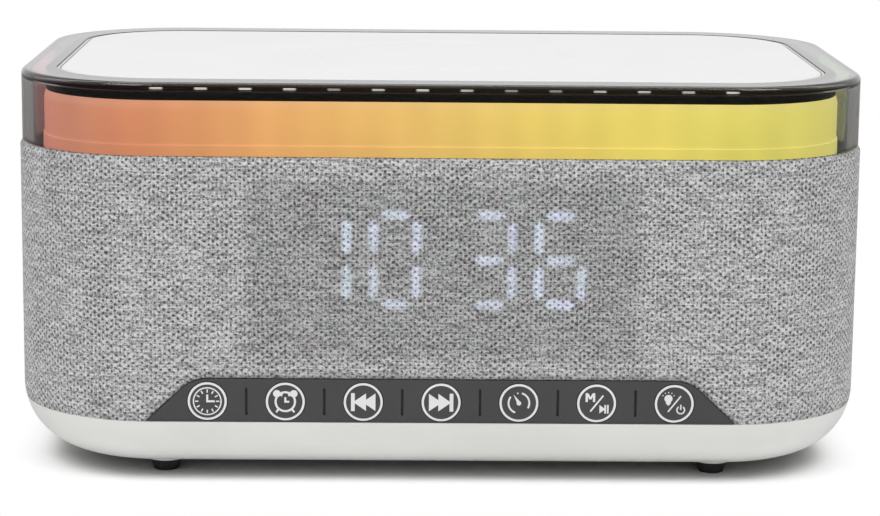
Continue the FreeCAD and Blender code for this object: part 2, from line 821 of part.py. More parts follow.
def speaker_magnet(side):
    """The motor: a front plate, a ring magnet and a back plate with its pole."""
    plate_back = basket_depth + plate_thickness
    magnet_back = plate_back + magnet_height
    gap_radius = coil_radius + coil_wall + coil_gap
    front_plate = speaker_turned(side, [(gap_radius, basket_depth), (basket_back_radius, basket_depth),
                                        (basket_back_radius, plate_back), (gap_radius, plate_back)])
    magnet = speaker_turned(side, [(magnet_inner_radius, plate_back), (magnet_radius, plate_back),
                                   (magnet_radius, magnet_back), (magnet_inner_radius, magnet_back)])
    pole = speaker_turned(side, [(0, basket_depth), (pole_radius, basket_depth), (pole_radius, magnet_back),
                                 (basket_back_radius, magnet_back), (basket_back_radius, magnet_back + plate_thickness),
                                 (0, magnet_back + plate_thickness)])
    return [front_plate, magnet, pole]


def speaker_cone(side):
    """The paper cone with its dust cap."""
    neck = coil_radius + coil_wall
    wall = cone_thickness
    cone = speaker_turned(side, [(neck, cone_neck_depth), (cone_radius, cone_rim_depth),
                                 (cone_radius, cone_rim_depth + wall), (neck, cone_neck_depth + wall)])
    slope = (cone_neck_depth - cone_rim_depth) / (cone_radius - neck)
    cap_radius = neck + (cone_radius - neck) / 3
    cap_depth = cone_neck_depth - slope * (cap_radius - neck) - fit_clearance
    return [cone, dust_cap(side, cap_radius, cap_depth)]


def dust_cap(side, radius, depth):
    """A thin low cap over the cone's neck, with a flat crown."""
    crown = radius / 2
    inner = crown - cone_thickness
    return speaker_turned(side, [(0, depth - cap_rise), (crown, depth - cap_rise), (radius, depth),
                                 (radius - cone_thickness, depth), (inner, depth - cap_rise + cone_thickness),
                                 (0, depth - cap_rise + cone_thickness)])


def voice_coil(side):
    """The wound tube that carries the cone and runs in the magnet's gap."""
    low = cone_neck_depth + cone_thickness
    return speaker_turned(side, [(coil_radius, low), (coil_radius + coil_wall, low),
                                 (coil_radius + coil_wall, low + coil_length), (coil_radius, low + coil_length)])


def speaker_surround(side):
    """The rubber roll between the cone's rim and the frame, as a thin wall with sloping sides."""
    inner = cone_radius + cone_clearance
    outer = speaker_mouth_radius - screw_clearance
    shoulder = (outer - inner) / 4
    high = cone_rim_depth - 2 * shoulder
    wall = surround_thickness
    return speaker_turned(side, [(inner, cone_rim_depth), (inner + shoulder, high), (outer - shoulder, high),
                                 (outer, cone_rim_depth), (outer - wall, cone_rim_depth),
                                 (outer - shoulder - wall / 2, high + wall),
                                 (inner + shoulder + wall / 2, high + wall), (inner + wall, cone_rim_depth)])


def speaker_spider(side):
    """The cloth disc that centres the voice coil."""
    inner_radius = coil_radius + coil_wall + cone_clearance
    outer_radius = basket_radius(spider_depth + spider_thickness) - screw_clearance
    return speaker_turned(side, [(inner_radius, spider_depth), (outer_radius, spider_depth),
                                 (outer_radius, spider_depth + spider_thickness),
                                 (inner_radius, spider_depth + spider_thickness)])


def speaker_screws(side):
    """Four screws that hold a speaker to its seat."""
    length = speaker_flange_thickness + speaker_ring_height
    screw = pan_screw(board_screw_radius, board_screw_head_radius, board_screw_head_height, length)
    screws = []
    for angle in speaker_screw_angles():
        place = speaker_axis_place(side, speaker_flange_thickness + board_screw_head_height)
        offset = Vector(0, speaker_screw_circle * math.cos(angle), speaker_screw_circle * math.sin(angle))
        screws.append(placed(screw, place + offset, Vector(side, 0, 0)))
    return screws


def clear_cap():
    """The smoked clear hood: an upright wall with a flange round the pad and a step that holds the cloth."""
    step = cloth_top + cap_step_rise
    outer = rounded_block(cap_inset, step, body_height)
    top_edges = [edge for edge in outer.Edges if edge.BoundBox.ZMin > body_height - fit_clearance]
    outer = outer.makeFillet(cap_edge_radius, top_edges)
    skirt = rounded_block(cloth_thickness + screw_clearance, deck_top, step)
    cavity = rounded_block(cap_inset + cap_wall, deck_top, flange_low)
    mouth = rounded_block(mouth_inset, flange_low, body_height)
    return outer.fuse(skirt).removeSplitter().cut([cavity, mouth])


def charging_pad():
    """The white pad with a soft edge and a shallow moulded ring that marks the charging spot."""
    pad = rounded_block(pad_inset, pad_low, body_height)
    top_edges = [edge for edge in pad.Edges if edge.BoundBox.ZMin > body_height - fit_clearance]
    pad = pad.makeFillet(pad_edge_radius, top_edges)
    groove_radius = (mark_half_width ** 2 + mark_depth ** 2) / (2 * mark_depth)
    groove = Part.makeTorus(mark_radius, groove_radius, Vector(0, 0, body_height - mark_depth + groove_radius))
    return pad.cut(groove)


def light_diffuser():
    """The milky ring that the light shines through, bevelled on top and wider at its foot."""
    inner = diffuser_inset + diffuser_wall
    outer = rounded_block(diffuser_inset, deck_top, diffuser_top)
    top_edges = [edge for edge in outer.Edges if edge.BoundBox.ZMin > diffuser_top - fit_clearance]
    outer = outer.makeChamfer(diffuser_bevel_height, diffuser_bevel, top_edges)
    foot = rounded_block(diffuser_inset - diffuser_foot_width, deck_top, deck_top + diffuser_foot_height)
    return outer.fuse(foot).removeSplitter().cut(rounded_block(inner, deck_top, diffuser_top))


def shade_ring():
    """The black ring between the diffuser and the cap's flange, with a lip that rises round the pad."""
    outer = diffuser_inset + diffuser_bevel
    web = ring(outer, shade_inner, diffuser_top, flange_low)
    lip = ring(mouth_inset + fit_clearance, shade_inner, flange_low - weld, body_height - shade_lip_drop)
    return web.fuse(lip).removeSplitter()


def drum():
    """The white inner wall that carries the pad and throws the light outwards, with a shelf for the winding."""
    wall = ring(drum_inset, drum_inset + drum_wall, deck_top, pad_low)
    shelf_top = pad_low - drum_shelf_drop
    shelf = rounded_block(drum_inset + weld, shelf_top - drum_shelf_thickness, shelf_top)
    bosses = [disc(x, y, deck_top, shelf_top - drum_shelf_thickness + weld, drum_boss_radius)
              for x, y in four_corners(drum_screw_x, drum_screw_y)]
    pilots = [disc(x, y, deck_top - weld, deck_top + board_screw_length, board_screw_radius + screw_clearance)
              for x, y in four_corners(drum_screw_x, drum_screw_y)]
    cable = disc(0, 0, shelf_top - drum_shelf_thickness - weld, shelf_top + weld, winding_inner_radius / 2)
    return fuse_all([wall, shelf] + bosses).cut(pilots + [cable])


def drum_screws():
    """Four screws that hold the drum from below the deck."""
    screw = pan_screw(board_screw_radius, board_screw_head_radius, board_screw_head_height, board_screw_length)
    z = deck_top - deck_thickness - board_screw_head_height
    return [placed(screw, Vector(x, y, z), Vector(0, 0, 1)) for x, y in four_corners(drum_screw_x, drum_screw_y)]


def light_board():
    """The ring-shaped circuit board under the diffuser."""
    return ring(light_board_inset, light_board_inset + light_board_width, deck_top, deck_top + light_board_thickness)


def path_place(inset, distance):
    """A point and heading on the body's plan at an inset, at a distance along it from the front middle."""
    radius = corner_radius - inset
    straight_x = half_width - corner_radius
    straight_y = half_depth - corner_radius
    runs = [("line", straight_x), ("arc", radius * math.pi / 2), ("line", 2 * straight_y),
            ("arc", radius * math.pi / 2), ("line", 2 * straight_x), ("arc", radius * math.pi / 2),
            ("line", 2 * straight_y), ("arc", radius * math.pi / 2), ("line", straight_x)]
    x, y, heading = 0.0, -(half_depth - inset), 0.0
    for kind, length in runs:
        step = min(distance, length)
        if kind == "line":
            x += step * math.cos(heading)
            y += step * math.sin(heading)
        else:
            turn = step / radius
            x += radius * (math.sin(heading + turn) - math.sin(heading))
            y += radius * (math.cos(heading) - math.cos(heading + turn))
            heading += turn
        distance -= step
        if distance <= 0:
            break
    return x, y, heading


def ring_leds():
    """The lamps on the light board, evenly spaced round it."""
    inset = light_board_inset + light_board_width / 2
    radius = corner_radius - inset
    length = 4 * (half_width - corner_radius) + 4 * (half_depth - corner_radius) + 2 * math.pi * radius
    count = round(length / led_pitch)
    z = deck_top + light_board_thickness
    lamps = []
    for number in range(count):
        x, y, heading = path_place(inset, (number + 0.5) * length / count)
        lamp = Part.makeBox(led_size, led_size, led_height, Vector(-led_size / 2, -led_size / 2, z))
        lamp.rotate(Vector(0, 0, 0), Vector(0, 0, 1), math.degrees(heading))
        lamp.translate(Vector(x, y, 0))
        lamps.append(lamp)
    return lamps


def charge_winding():
    """The flat copper winding under the pad."""
    low = pad_low - drum_shelf_drop + ferrite_thickness
    outer = disc(0, 0, low, low + winding_thickness, winding_outer_radius)
    return outer.cut(disc(0, 0, low, low + winding_thickness, winding_inner_radius))


def charge_ferrite():
    """The ferrite disc that shields the electronics from the winding."""
    low = pad_low - drum_shelf_drop
    plate = disc(0, 0, low, low + ferrite_thickness, ferrite_radius)
    return plate.cut(disc(0, 0, low, low + ferrite_thickness, winding_inner_radius / 2))


def charge_board():
    """The charger's circuit board, hung below the drum's shelf on its own parts."""
    top = pad_low - drum_shelf_drop - drum_shelf_thickness
    board = box(-charge_board_half_width, charge_board_half_width, -charge_board_half_depth, charge_board_half_depth,
                top - charge_board_drop - board_thickness, top - charge_board_drop)
    spacers = [disc(x, y, top - charge_board_drop - weld, top, board_boss_radius)
               for x, y in four_corners(charge_board_half_width - 2 * board_boss_radius,
                                        charge_board_half_depth - 2 * board_boss_radius)]
    return fuse_all([board] + spacers)


def main_board():
    """The main circuit board on its four posts."""
    board = box(-main_board_half_width, main_board_half_width, main_board_front, main_board_back,
                main_board_low, main_board_top)
    holes = [disc(x, y, main_board_low - weld, main_board_top + weld, board_screw_radius + fit_clearance)
             for x, y in main_posts()]
    return board.cut(holes)


def board_place(x_share, y_share):
    """A point on the main board, as shares of its width and depth."""
    x = -main_board_half_width + x_share * 2 * main_board_half_width
    y = main_board_front + y_share * (main_board_back - main_board_front)
    return x, y


def board_parts():
    """Chips and capacitors on the main board."""
    parts = []
    for (width, depth, height), shares in zip(chip_sizes, chip_place_shares):
        x, y = board_place(*shares)
        parts.append(box(x - width / 2, x + width / 2, y - depth / 2, y + depth / 2,
                         main_board_top, main_board_top + height))
    for shares in can_place_shares:
        x, y = board_place(*shares)
        parts.append(disc(x, y, main_board_top, main_board_top + can_height, can_radius))
    return parts


def cell_holder():
    """The cup that holds the coin cell."""
    outer_radius = cell_radius + fit_clearance + cell_holder_wall
    cup = disc(cell_x, cell_y, main_board_top, main_board_top + cell_thickness, outer_radius)
    well = disc(cell_x, cell_y, main_board_top + cell_holder_wall, main_board_top + cell_thickness + weld,
                cell_radius + fit_clearance)
    return cup.cut(well)


def coin_cell():
    """The cell that keeps the time when the mains is off."""
    low = main_board_top + cell_holder_wall
    return disc(cell_x, cell_y, low, low + cell_thickness, cell_radius)


def socket_panel():
    """The dark panel round the rear sockets."""
    plate = port_outline(fit_clearance, 0, back + overrun)
    plate = plate.common(body_block(strip_inset)).cut(body_block(strip_back))
    holes = [socket_block(usb_a_x, usb_a_width, usb_a_height, usb_a_depth, fit_clearance),
             socket_block(usb_c_x, usb_c_width, usb_c_height, usb_c_depth, fit_clearance)]
    return plate.cut(holes)


def socket_block(x, width, height, depth, grow):
    """The space of a socket that stands on the main board with its mouth at the back."""
    far = back - socket_inset
    return box(x - width / 2 - grow, x + width / 2 + grow, far - depth, far + (overrun if grow else 0),
               main_board_top - grow, main_board_top + height + grow)


def usb_a_socket():
    """The charging outlet: a steel shell with a plastic tongue."""
    shell = socket_block(usb_a_x, usb_a_width, usb_a_height, usb_a_depth, 0)
    far = back - socket_inset
    hollow = box(usb_a_x - usb_a_width / 2 + usb_a_wall, usb_a_x + usb_a_width / 2 - usb_a_wall,
                 far - usb_a_depth + usb_a_wall, far + overrun,
                 main_board_top + usb_a_wall, main_board_top + usb_a_height - usb_a_wall)
    top = main_board_top + usb_a_height - 2 * usb_a_wall
    tongue = box(usb_a_x - usb_a_width / 2 + 3 * usb_a_wall, usb_a_x + usb_a_width / 2 - 3 * usb_a_wall,
                 far - usb_a_depth, far - usb_a_tongue, top - usb_a_tongue, top)
    return shell.cut(hollow).fuse(tongue).removeSplitter()


def usb_c_socket():
    """The power inlet: an oval steel shell with a thin tongue."""
    far = back - socket_inset
    shell = socket_block(usb_c_x, usb_c_width, usb_c_height, usb_c_depth, 0)
    radius = usb_c_height / 2 - screw_clearance
    shell = shell.makeFillet(radius, [edge for edge in shell.Edges if is_along_y(edge)])
    hollow = box(usb_c_x - usb_c_width / 2 + usb_c_wall, usb_c_x + usb_c_width / 2 - usb_c_wall,
                 far - usb_c_depth + usb_c_wall, far + overrun,
                 main_board_top + usb_c_wall, main_board_top + usb_c_height - usb_c_wall)
    hollow = hollow.makeFillet(radius - usb_c_wall, [edge for edge in hollow.Edges if is_along_y(edge)])
    middle = main_board_top + usb_c_height / 2
    tongue_half = usb_c_width / 2 - usb_c_height / 2
    tongue = box(usb_c_x - tongue_half, usb_c_x + tongue_half, far - usb_c_depth, far - 2 * usb_c_tongue,
                 middle - usb_c_tongue / 2, middle + usb_c_tongue / 2)
    return shell.cut(hollow).fuse(tongue).removeSplitter()


def export(name, shape):
    """Writes one piece, or a group of separate pieces, as a named part."""
    whole = Part.makeCompound(shape) if isinstance(shape, list) else shape
    whole.exportStep(os.path.join("parts", name + ".step"))


def main():
    os.makedirs("parts", exist_ok=True)
    export("base_shell", base_shell())
    export("rubber_feet", rubber_feet())
    export("base_screws", base_screws())
    export("cabinet", cabinet())
    export("fabric_cover", fabric_cover())
    export("key_strip", key_strip())
    for name, x in zip(key_names, key_places):
        export("key_" + name, key(x))
        export("plunger_" + name, plunger(x))
    export("key_switches", key_switches())
    export("key_board", key_board())
    export("board_screws", board_screws())
    export("display_filter", display_filter())
    export("display_housing", display_housing())
    lit, dark = display_bars()
    export("display_bars_lit", lit)
    export("display_bars_dark", dark)
    export("display_board", display_board())
    export("display_leds", display_leds())
    for name, side in (("left", -1), ("right", 1)):
        export(name + "_speaker_frame", speaker_frame(side))
        export(name + "_speaker_magnet", speaker_magnet(side))
        export(name + "_speaker_cone", speaker_cone(side))
        export(name + "_voice_coil", voice_coil(side))
        export(name + "_speaker_surround", speaker_surround(side))
        export(name + "_speaker_spider", speaker_spider(side))
    export("speaker_screws", speaker_screws(-1) + speaker_screws(1))
    export("clear_cap", clear_cap())
    export("charging_pad", charging_pad())
    export("light_diffuser", light_diffuser())
    export("shade_ring", shade_ring())
    export("drum", drum())
    export("drum_screws", drum_screws())
    export("light_board", light_board())
    export("ring_leds", ring_leds())
    export("charge_winding", charge_winding())
    export("charge_ferrite", charge_ferrite())
    export("charge_board", charge_board())
    export("main_board", main_board())
    export("board_parts", board_parts())
    export("cell_holder", cell_holder())
    export("coin_cell", coin_cell())
    export("socket_panel", socket_panel())
    export("usb_a_socket", usb_a_socket())
    export("usb_c_socket", usb_c_socket())


main()
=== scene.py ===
# %% [markdown]
# # A bedside alarm clock in Blender
#
# The clock is a rounded block wrapped in grey cloth, on a white bowl-shaped base. Digits shine through the cloth,
# seven round keys sit in a dark strip, and a smoked clear cap on top covers a coloured light ring and frames a
# white pad that charges a phone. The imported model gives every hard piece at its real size. This file dresses it:
# it makes the cloth, the key marks and the finishes, and sets the camera and the light.

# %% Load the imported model
import json
import math

import bmesh
import bpy
from mathutils import Matrix, Vector

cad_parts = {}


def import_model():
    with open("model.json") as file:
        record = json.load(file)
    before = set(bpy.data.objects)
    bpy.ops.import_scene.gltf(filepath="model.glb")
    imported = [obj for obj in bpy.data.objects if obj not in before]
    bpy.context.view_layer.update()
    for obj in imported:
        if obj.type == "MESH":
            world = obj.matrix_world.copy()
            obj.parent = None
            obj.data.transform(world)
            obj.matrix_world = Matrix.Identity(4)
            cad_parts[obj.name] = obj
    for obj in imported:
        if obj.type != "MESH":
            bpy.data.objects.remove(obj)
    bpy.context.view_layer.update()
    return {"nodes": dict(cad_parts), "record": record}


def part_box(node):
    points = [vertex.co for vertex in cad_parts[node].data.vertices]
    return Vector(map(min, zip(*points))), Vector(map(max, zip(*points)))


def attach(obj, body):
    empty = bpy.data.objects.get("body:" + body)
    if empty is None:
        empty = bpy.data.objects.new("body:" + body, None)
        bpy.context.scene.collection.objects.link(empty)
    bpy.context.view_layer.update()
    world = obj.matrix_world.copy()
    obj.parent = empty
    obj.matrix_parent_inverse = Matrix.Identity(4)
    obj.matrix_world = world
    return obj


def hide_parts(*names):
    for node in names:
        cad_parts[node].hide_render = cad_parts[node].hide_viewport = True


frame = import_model()
nodes = frame["nodes"]
MM = 0.001

# %% [markdown]
# ## Sizes read from the frame
#
# Nothing is typed twice: the cloth, strip, keys and digits are already in the model, so their boxes give every
# place that the new pieces need. A few radii and small steps can't be read from a box, so they are named here in
# metres. The plan's straight runs follow from the body's box and its corner radius.

# %% Read the places of the main pieces
cloth_low, cloth_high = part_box("fabric_cover")
panel_low, panel_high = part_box("socket_panel")
ring_low, ring_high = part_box("light_diffuser")
shade_low, shade_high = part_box("shade_ring")
lit_low, lit_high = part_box("display_bars_lit")
window_low, window_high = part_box("display_filter")
strip_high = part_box("key_strip")[1]
cap_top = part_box("clear_cap")[1].z
base_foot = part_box("base_shell")[0].z

HALF_WIDTH = cloth_high.x
HALF_DEPTH = cloth_high.y
CORNER = 33.0 * MM
STRAIGHT_X = HALF_WIDTH - CORNER
STRAIGHT_Y = HALF_DEPTH - CORNER
BOTTOM_RADIUS = 15.5 * MM
BOSS_DROP = 0.1 * MM
UNDERSIDE = base_foot + BOSS_DROP
print("cloth from", round(cloth_low.z, 4), "to", round(cloth_high.z, 4), "strip top", round(strip_high.z, 4))


# %% [markdown]
# ## Colours as the eye sees them
#
# Colours are easiest to judge as the 0 to 255 values of a picture, but a shader wants linear light. One small
# function turns the first into the second, so each finish below can be written as it should look.

# %% Turn picture colours into linear light
def tone(red, green=None, blue=None):
    """A linear colour from 0 to 255 picture values, or a grey from one value, by the usual sRGB curve."""
    values = (red, red, red) if green is None else (red, green, blue)
    linear = []
    for value in values:
        share = value / 255
        linear.append(share / 12.92 if share <= 0.04045 else ((share + 0.055) / 1.055) ** 2.4)
    return (*linear, 1.0)


WHITE = tone(255)
BLACK = tone(0)
print("mid grey 128 is", round(tone(128)[0], 3), "in linear light")


# %% [markdown]
# ## Shader maths that reads like maths
#
# A procedural finish is a formula, and in Blender each sum is a Math node. Wrapping a socket in a small class lets
# Python's own operators add those nodes, so a pattern can be written as one expression. Any other node comes from
# one method, which sets the node's options first and its inputs after.

# %% Wrap a socket so that operators add Math nodes
class Value:
    """A shader socket that can be used in Python expressions."""

    def __init__(self, paint, socket):
        self.paint = paint
        self.socket = socket

    def maths(self, operation, *others):
        return self.paint.node("ShaderNodeMath", {"operation": operation}, (self, *others))

    def __add__(self, other):
        return self.maths("ADD", other)

    def __sub__(self, other):
        return self.maths("SUBTRACT", other)

    def __rsub__(self, other):
        return self.paint.node("ShaderNodeMath", {"operation": "SUBTRACT"}, (other, self))

    def __mul__(self, other):
        return self.maths("MULTIPLY", other)

    def __truediv__(self, other):
        return self.maths("DIVIDE", other)

    def __abs__(self):
        return self.maths("ABSOLUTE")

    __radd__ = __add__
    __rmul__ = __mul__

    def largest(self, other):
        return self.maths("MAXIMUM", other)

    def cosine(self):
        return self.maths("COSINE")

    def power(self, exponent):
        return self.maths("POWER", exponent)

    def between(self, low, high):
        """0 below low, 1 above high, and a smooth step from one to the other."""
        settings = {"interpolation_type": "SMOOTHSTEP"}
        return self.paint.node("ShaderNodeMapRange", settings, {"Value": self, "From Min": low, "From Max": high})

    def band(self, middle, half_width, core):
        """1 round a middle value, as far as the core's share of the half width, and 0 past that width."""
        return 1 - (abs(self - middle) / half_width).between(core, 1.0)


class Graph:
    """A tree of shader nodes, with short ways to add to it."""

    def __init__(self, tree):
        self.tree = tree

    def node(self, kind, settings=None, inputs=None, output=0):
        """Adds a node: its options first, then the values or links of its sockets."""
        made = self.tree.nodes.new(kind)
        for option, value in (settings or {}).items():
            if option == "stops":
                self.fill_ramp(made.color_ramp, value)
            else:
                setattr(made, option, value)
        pairs = inputs.items() if isinstance(inputs, dict) else enumerate(inputs or ())
        for socket, value in pairs:
            self.feed(made.inputs[socket], value)
        return Value(self, made.outputs[output])

    def fill_ramp(self, ramp, stops):
        """Gives a colour ramp its stops, each a position and a colour."""
        while len(ramp.elements) < len(stops):
            ramp.elements.new(1.0)
        for element, (position, color) in zip(ramp.elements, stops):
            element.position = position
            element.color = color

    def feed(self, socket, value):
        if isinstance(value, Value):
            self.tree.links.new(value.socket, socket)
        else:
            socket.default_value = value

    def place(self, scale=1.0):
        """The point on the object, in metres times the scale."""
        point = self.node("ShaderNodeTexCoord", output="Object")
        return self.node("ShaderNodeVectorMath", {"operation": "SCALE"}, {0: point, "Scale": scale})

    def axes(self, vector):
        """The three numbers of a vector."""
        split = self.node("ShaderNodeSeparateXYZ", inputs=(vector,))
        outputs = split.socket.node.outputs
        return [Value(self, outputs[axis]) for axis in ("X", "Y", "Z")]

    def rays(self):
        """Whether the ray comes from the camera, from a reflection or through glass, for floor and world."""
        outputs = self.node("ShaderNodeLightPath").socket.node.outputs
        return [Value(self, outputs[kind]) for kind in ("Is Camera Ray", "Is Glossy Ray", "Is Transmission Ray")]

    def noise(self, where, scale, detail=2.0, roughness=0.5):
        """Soft noise from 0 to 1 at a place."""
        return self.node("ShaderNodeTexNoise", inputs={
            "Vector": where, "Scale": scale, "Detail": detail, "Roughness": roughness})

    def mix(self, factor, first, second, blend="MIX"):
        """One colour blended into another by a factor."""
        settings = {"data_type": "RGBA", "clamp_factor": True, "blend_type": blend}
        return self.node("ShaderNodeMix", settings, {0: factor, 6: first, 7: second}, output=2)


class Paint(Graph):
    """One material with its Principled shader."""

    def __init__(self, name, **settings):
        self.material = bpy.data.materials.new(name)
        self.material.use_nodes = True
        super().__init__(self.material.node_tree)
        self.shader = self.tree.nodes["Principled BSDF"]
        self.output = self.tree.nodes["Material Output"]
        for socket, value in settings.items():
            self.set(socket.replace("_", " "), value)

    def set(self, socket, value):
        """Sets or links one socket of the Principled shader."""
        self.feed(self.shader.inputs[socket], value)

    def bump(self, height, distance, strength=1.0):
        """Tilts the surface's normal by a height, where 1 stands for the distance in metres."""
        normal = self.node("ShaderNodeBump", inputs={
            "Height": height, "Distance": distance, "Strength": strength})
        self.set("Normal", normal)


print("shader helpers ready")


# %% [markdown]
# ## Moulded plastics
#
# Injection-moulded parts have a very fine spark-eroded grain and a satin gloss that varies a little. Both come
# from noise: a fine one tilts the normal by a few hundredths of a millimetre, and a broad one shifts the roughness.

# %% Make a finish for moulded plastic
DRIFT_SCALE = 45.0
BROAD_GLOSS = 0.08
FINE_GLOSS = 0.06


def moulded(name, color, roughness, grain=0.02, grain_size=0.35, drift=0.05, **settings):
    """Plastic with a fine grain of a height and size in millimetres, and a slow drift in tone."""
    paint = Paint(name, **settings)
    where = paint.place()
    broad = paint.noise(where, DRIFT_SCALE, 3.0)
    fine = paint.noise(where, 1.0 / (grain_size * MM), 2.0)
    darker = tuple(channel * (1 - drift) for channel in color[:3]) + (1.0,)
    paint.set("Base Color", paint.mix(broad.between(0.3, 0.7), color, darker))
    smoothest = roughness - (BROAD_GLOSS + FINE_GLOSS) / 2
    paint.set("Roughness", broad * BROAD_GLOSS + fine * FINE_GLOSS + smoothest)
    paint.bump(fine, grain * MM)
    return paint.material


ACRYLIC = 1.49
white_plastic = moulded("white_plastic", tone(224, 224, 221), 0.36, grain=0.012, IOR=ACRYLIC)
pad_plastic = moulded("pad_plastic", tone(214), 0.42, grain=0.01, drift=0.015)
black_plastic = moulded("black_plastic", tone(26), 0.5)
strip_plastic = moulded("strip_plastic", tone(66), 0.6, grain=0.015)
key_plastic = moulded("key_plastic", tone(67), 0.58, grain=0.015)
foot_rubber = moulded("foot_rubber", tone(38), 0.75, grain=0.04, grain_size=0.6)
print("moulded finishes made")

# %% [markdown]
# ## The smoked clear cap
#
# The cap is cast acrylic with a light smoke tint. The wall is modelled at its true thickness, so real transmission
# bends the view through it. The tint is deeper in the wall than in the top flange, and the polish is nearly perfect.

# %% Make the smoked acrylic
WALL_TOP = cap_top - 2.8 * MM
FLANGE_FOOT = cap_top - 2.0 * MM
smoke = Paint("smoked_acrylic", Roughness=0.015, IOR=ACRYLIC, Transmission_Weight=1.0)
smoke_height = smoke.axes(smoke.place())[2]
flange = smoke_height.between(WALL_TOP, FLANGE_FOOT)
smoke.set("Base Color", smoke.mix(flange, tone(118, 116, 113), tone(138, 137, 135)))
print("smoked acrylic made, flange", round((cap_top - FLANGE_FOOT) / MM, 1), "mm thick")


# %% [markdown]
# ## The light ring
#
# Coloured lamps stand round the ring every ten millimetres and shine through milky plastic, so the colour drifts
# slowly from one hue to the next. The hue follows the direction from the middle of the clock. A paler band runs
# along the top, a thin pale line marks the step at a quarter of the height, and the light fades a little towards
# the foot. The plan is wider than it is deep, so it is stretched before its direction is read.

# %% Choose the ring's colours
GLOW = 5.15
LAMP_PITCH = 9.86 * MM
LAMP_SHIFT = -4.7 * MM
PLAN_STRETCH = 1.7
RAINBOW = [
    (0.0, tone(110, 150, 225)), (0.1, tone(165, 110, 205)), (0.2, tone(205, 110, 150)),
    (0.3, tone(198, 122, 122)), (0.38, tone(211, 143, 118)), (0.4, tone(229, 152, 113)),
    (0.44, tone(245, 185, 117)), (0.5, tone(245, 209, 119)), (0.56, tone(249, 230, 117)),
    (0.6, tone(236, 228, 116)), (0.7, tone(205, 205, 134)), (0.82, tone(100, 196, 130)),
    (1.0, tone(110, 150, 225)),
]


def ring_hue(paint, x, y):
    """The lamps' colour in the direction of a point, seen from the clock's middle."""
    turn = paint.node("ShaderNodeMath", {"operation": "ARCTAN2"}, (x, y * -PLAN_STRETCH))
    return paint.node("ShaderNodeValToRGB", {"stops": RAINBOW}, (turn / math.tau + 0.5,))


print(len(RAINBOW), "stops of colour round the ring")

# %% Make the glowing diffuser
STEP_HEIGHT = 0.25
STEP_WIDTH = 0.05
PATCH_LIGHT = 0.2
LAMP_LIGHT = 0.02
FOOT_LOSS = 0.12


def ring_glow():
    """Milky plastic that glows in a slow rainbow round the clock."""
    paint = Paint("ring_glow", Roughness=0.45, IOR=ACRYLIC, Emission_Strength=1.0)
    where = paint.place()
    x, y, z = paint.axes(where)
    hue = ring_hue(paint, x, y)
    height = (z - ring_low.z) / (ring_high.z - ring_low.z)
    pale = height.between(0.8, 0.95) * 0.14
    line = height.band(STEP_HEIGHT, STEP_WIDTH, 0.2) * 0.06
    shown = paint.mix(pale + line, hue, tone(236, 206, 186))
    patches = paint.noise(where, 60.0, 1.0) * PATCH_LIGHT
    lamp = (x * (math.tau / LAMP_PITCH)).cosine() * LAMP_LIGHT
    level = (patches + lamp + (1 - PATCH_LIGHT / 2) - (1 - height) * FOOT_LOSS) * GLOW
    paint.set("Base Color", paint.mix(0.5, hue, tone(120, 110, 100)))
    light = paint.node("ShaderNodeVectorMath", {"operation": "SCALE"}, {0: shown, "Scale": level})
    paint.set("Emission Color", light)
    return paint.material


glow = ring_glow()
print("light ring made")


# %% [markdown]
# Above the diffuser a black ring hides the lamps' board. Seen through the cap, each lamp shows as a small bright
# reflection. These reflections are painted onto the ring as glowing dashes, one every ten millimetres along the
# straight front and back. A faint painted highlight marks the joint above the dashes, a painted reflection of the
# coloured light tints the ring's upper part a little, and its rim is pale. The cap bends the view, so these heights
# were found by looking at renders and not by measuring.

# %% Make the black ring with its painted lamp reflections
GRAIN_SIZE = 0.35 * MM
RIM_FOOT = shade_high.z - 0.6 * MM
RIM_TOP = shade_high.z - 0.3 * MM
DASH_HEIGHT = shade_low.z + 2.46 * MM
DASH_HALF = 0.1 * MM
JOINT_HEIGHT = shade_low.z + 2.82 * MM
JOINT_HALF = 0.12 * MM
HUE_REFLECTION_FOOT = shade_low.z + 1.9 * MM
HUE_REFLECTION_TOP = shade_low.z + 2.3 * MM
DASH_FADE = 3.0 * MM
JOINT_LIGHT = 0.05
HUE_REFLECTION_LIGHT = 0.05
LAMP_REFLECTION_WHITE = (4.0, 3.9, 3.7, 1.0)


def lamp_shade():
    """Black plastic with painted lamp reflections: a row of small bright dashes along it."""
    paint = Paint("lamp_shade", Roughness=0.5, IOR=1.45, Emission_Strength=1.0)
    where = paint.place()
    x, y, z = paint.axes(where)
    fine = paint.noise(where, 1 / GRAIN_SIZE, 2.0)
    rim = z.between(RIM_FOOT, RIM_TOP)
    paint.set("Base Color", paint.mix(rim, paint.mix(fine, tone(10), tone(14)), tone(190)))
    # painted reflections: a bright dash at each lamp along the straight front and back
    along = ((x - LAMP_SHIFT) * (math.tau / LAMP_PITCH)).cosine().between(0.5, 0.8)
    straight = 1 - abs(x).between(STRAIGHT_X, STRAIGHT_X + DASH_FADE)
    painted_dash = along * straight * z.band(DASH_HEIGHT, DASH_HALF, 0.3)
    fainter = paint.noise(where, 35.0, 1.0).between(0.35, 0.6) * 0.6 + 0.4
    # painted highlight along the joint, and a painted reflection of the ring's colour on the upper part
    painted_joint_line = z.band(JOINT_HEIGHT, JOINT_HALF, 0.4) * JOINT_LIGHT
    reflected_hue = paint.mix(0.5, ring_hue(paint, x, y), tone(150, 110, 122))
    dim = paint.mix(z.between(HUE_REFLECTION_FOOT, HUE_REFLECTION_TOP) * HUE_REFLECTION_LIGHT, BLACK, reflected_hue)
    paint.set("Emission Color", paint.mix(painted_dash * fainter + painted_joint_line, dim, LAMP_REFLECTION_WHITE))
    paint.bump(fine, 0.02 * MM)
    return paint.material


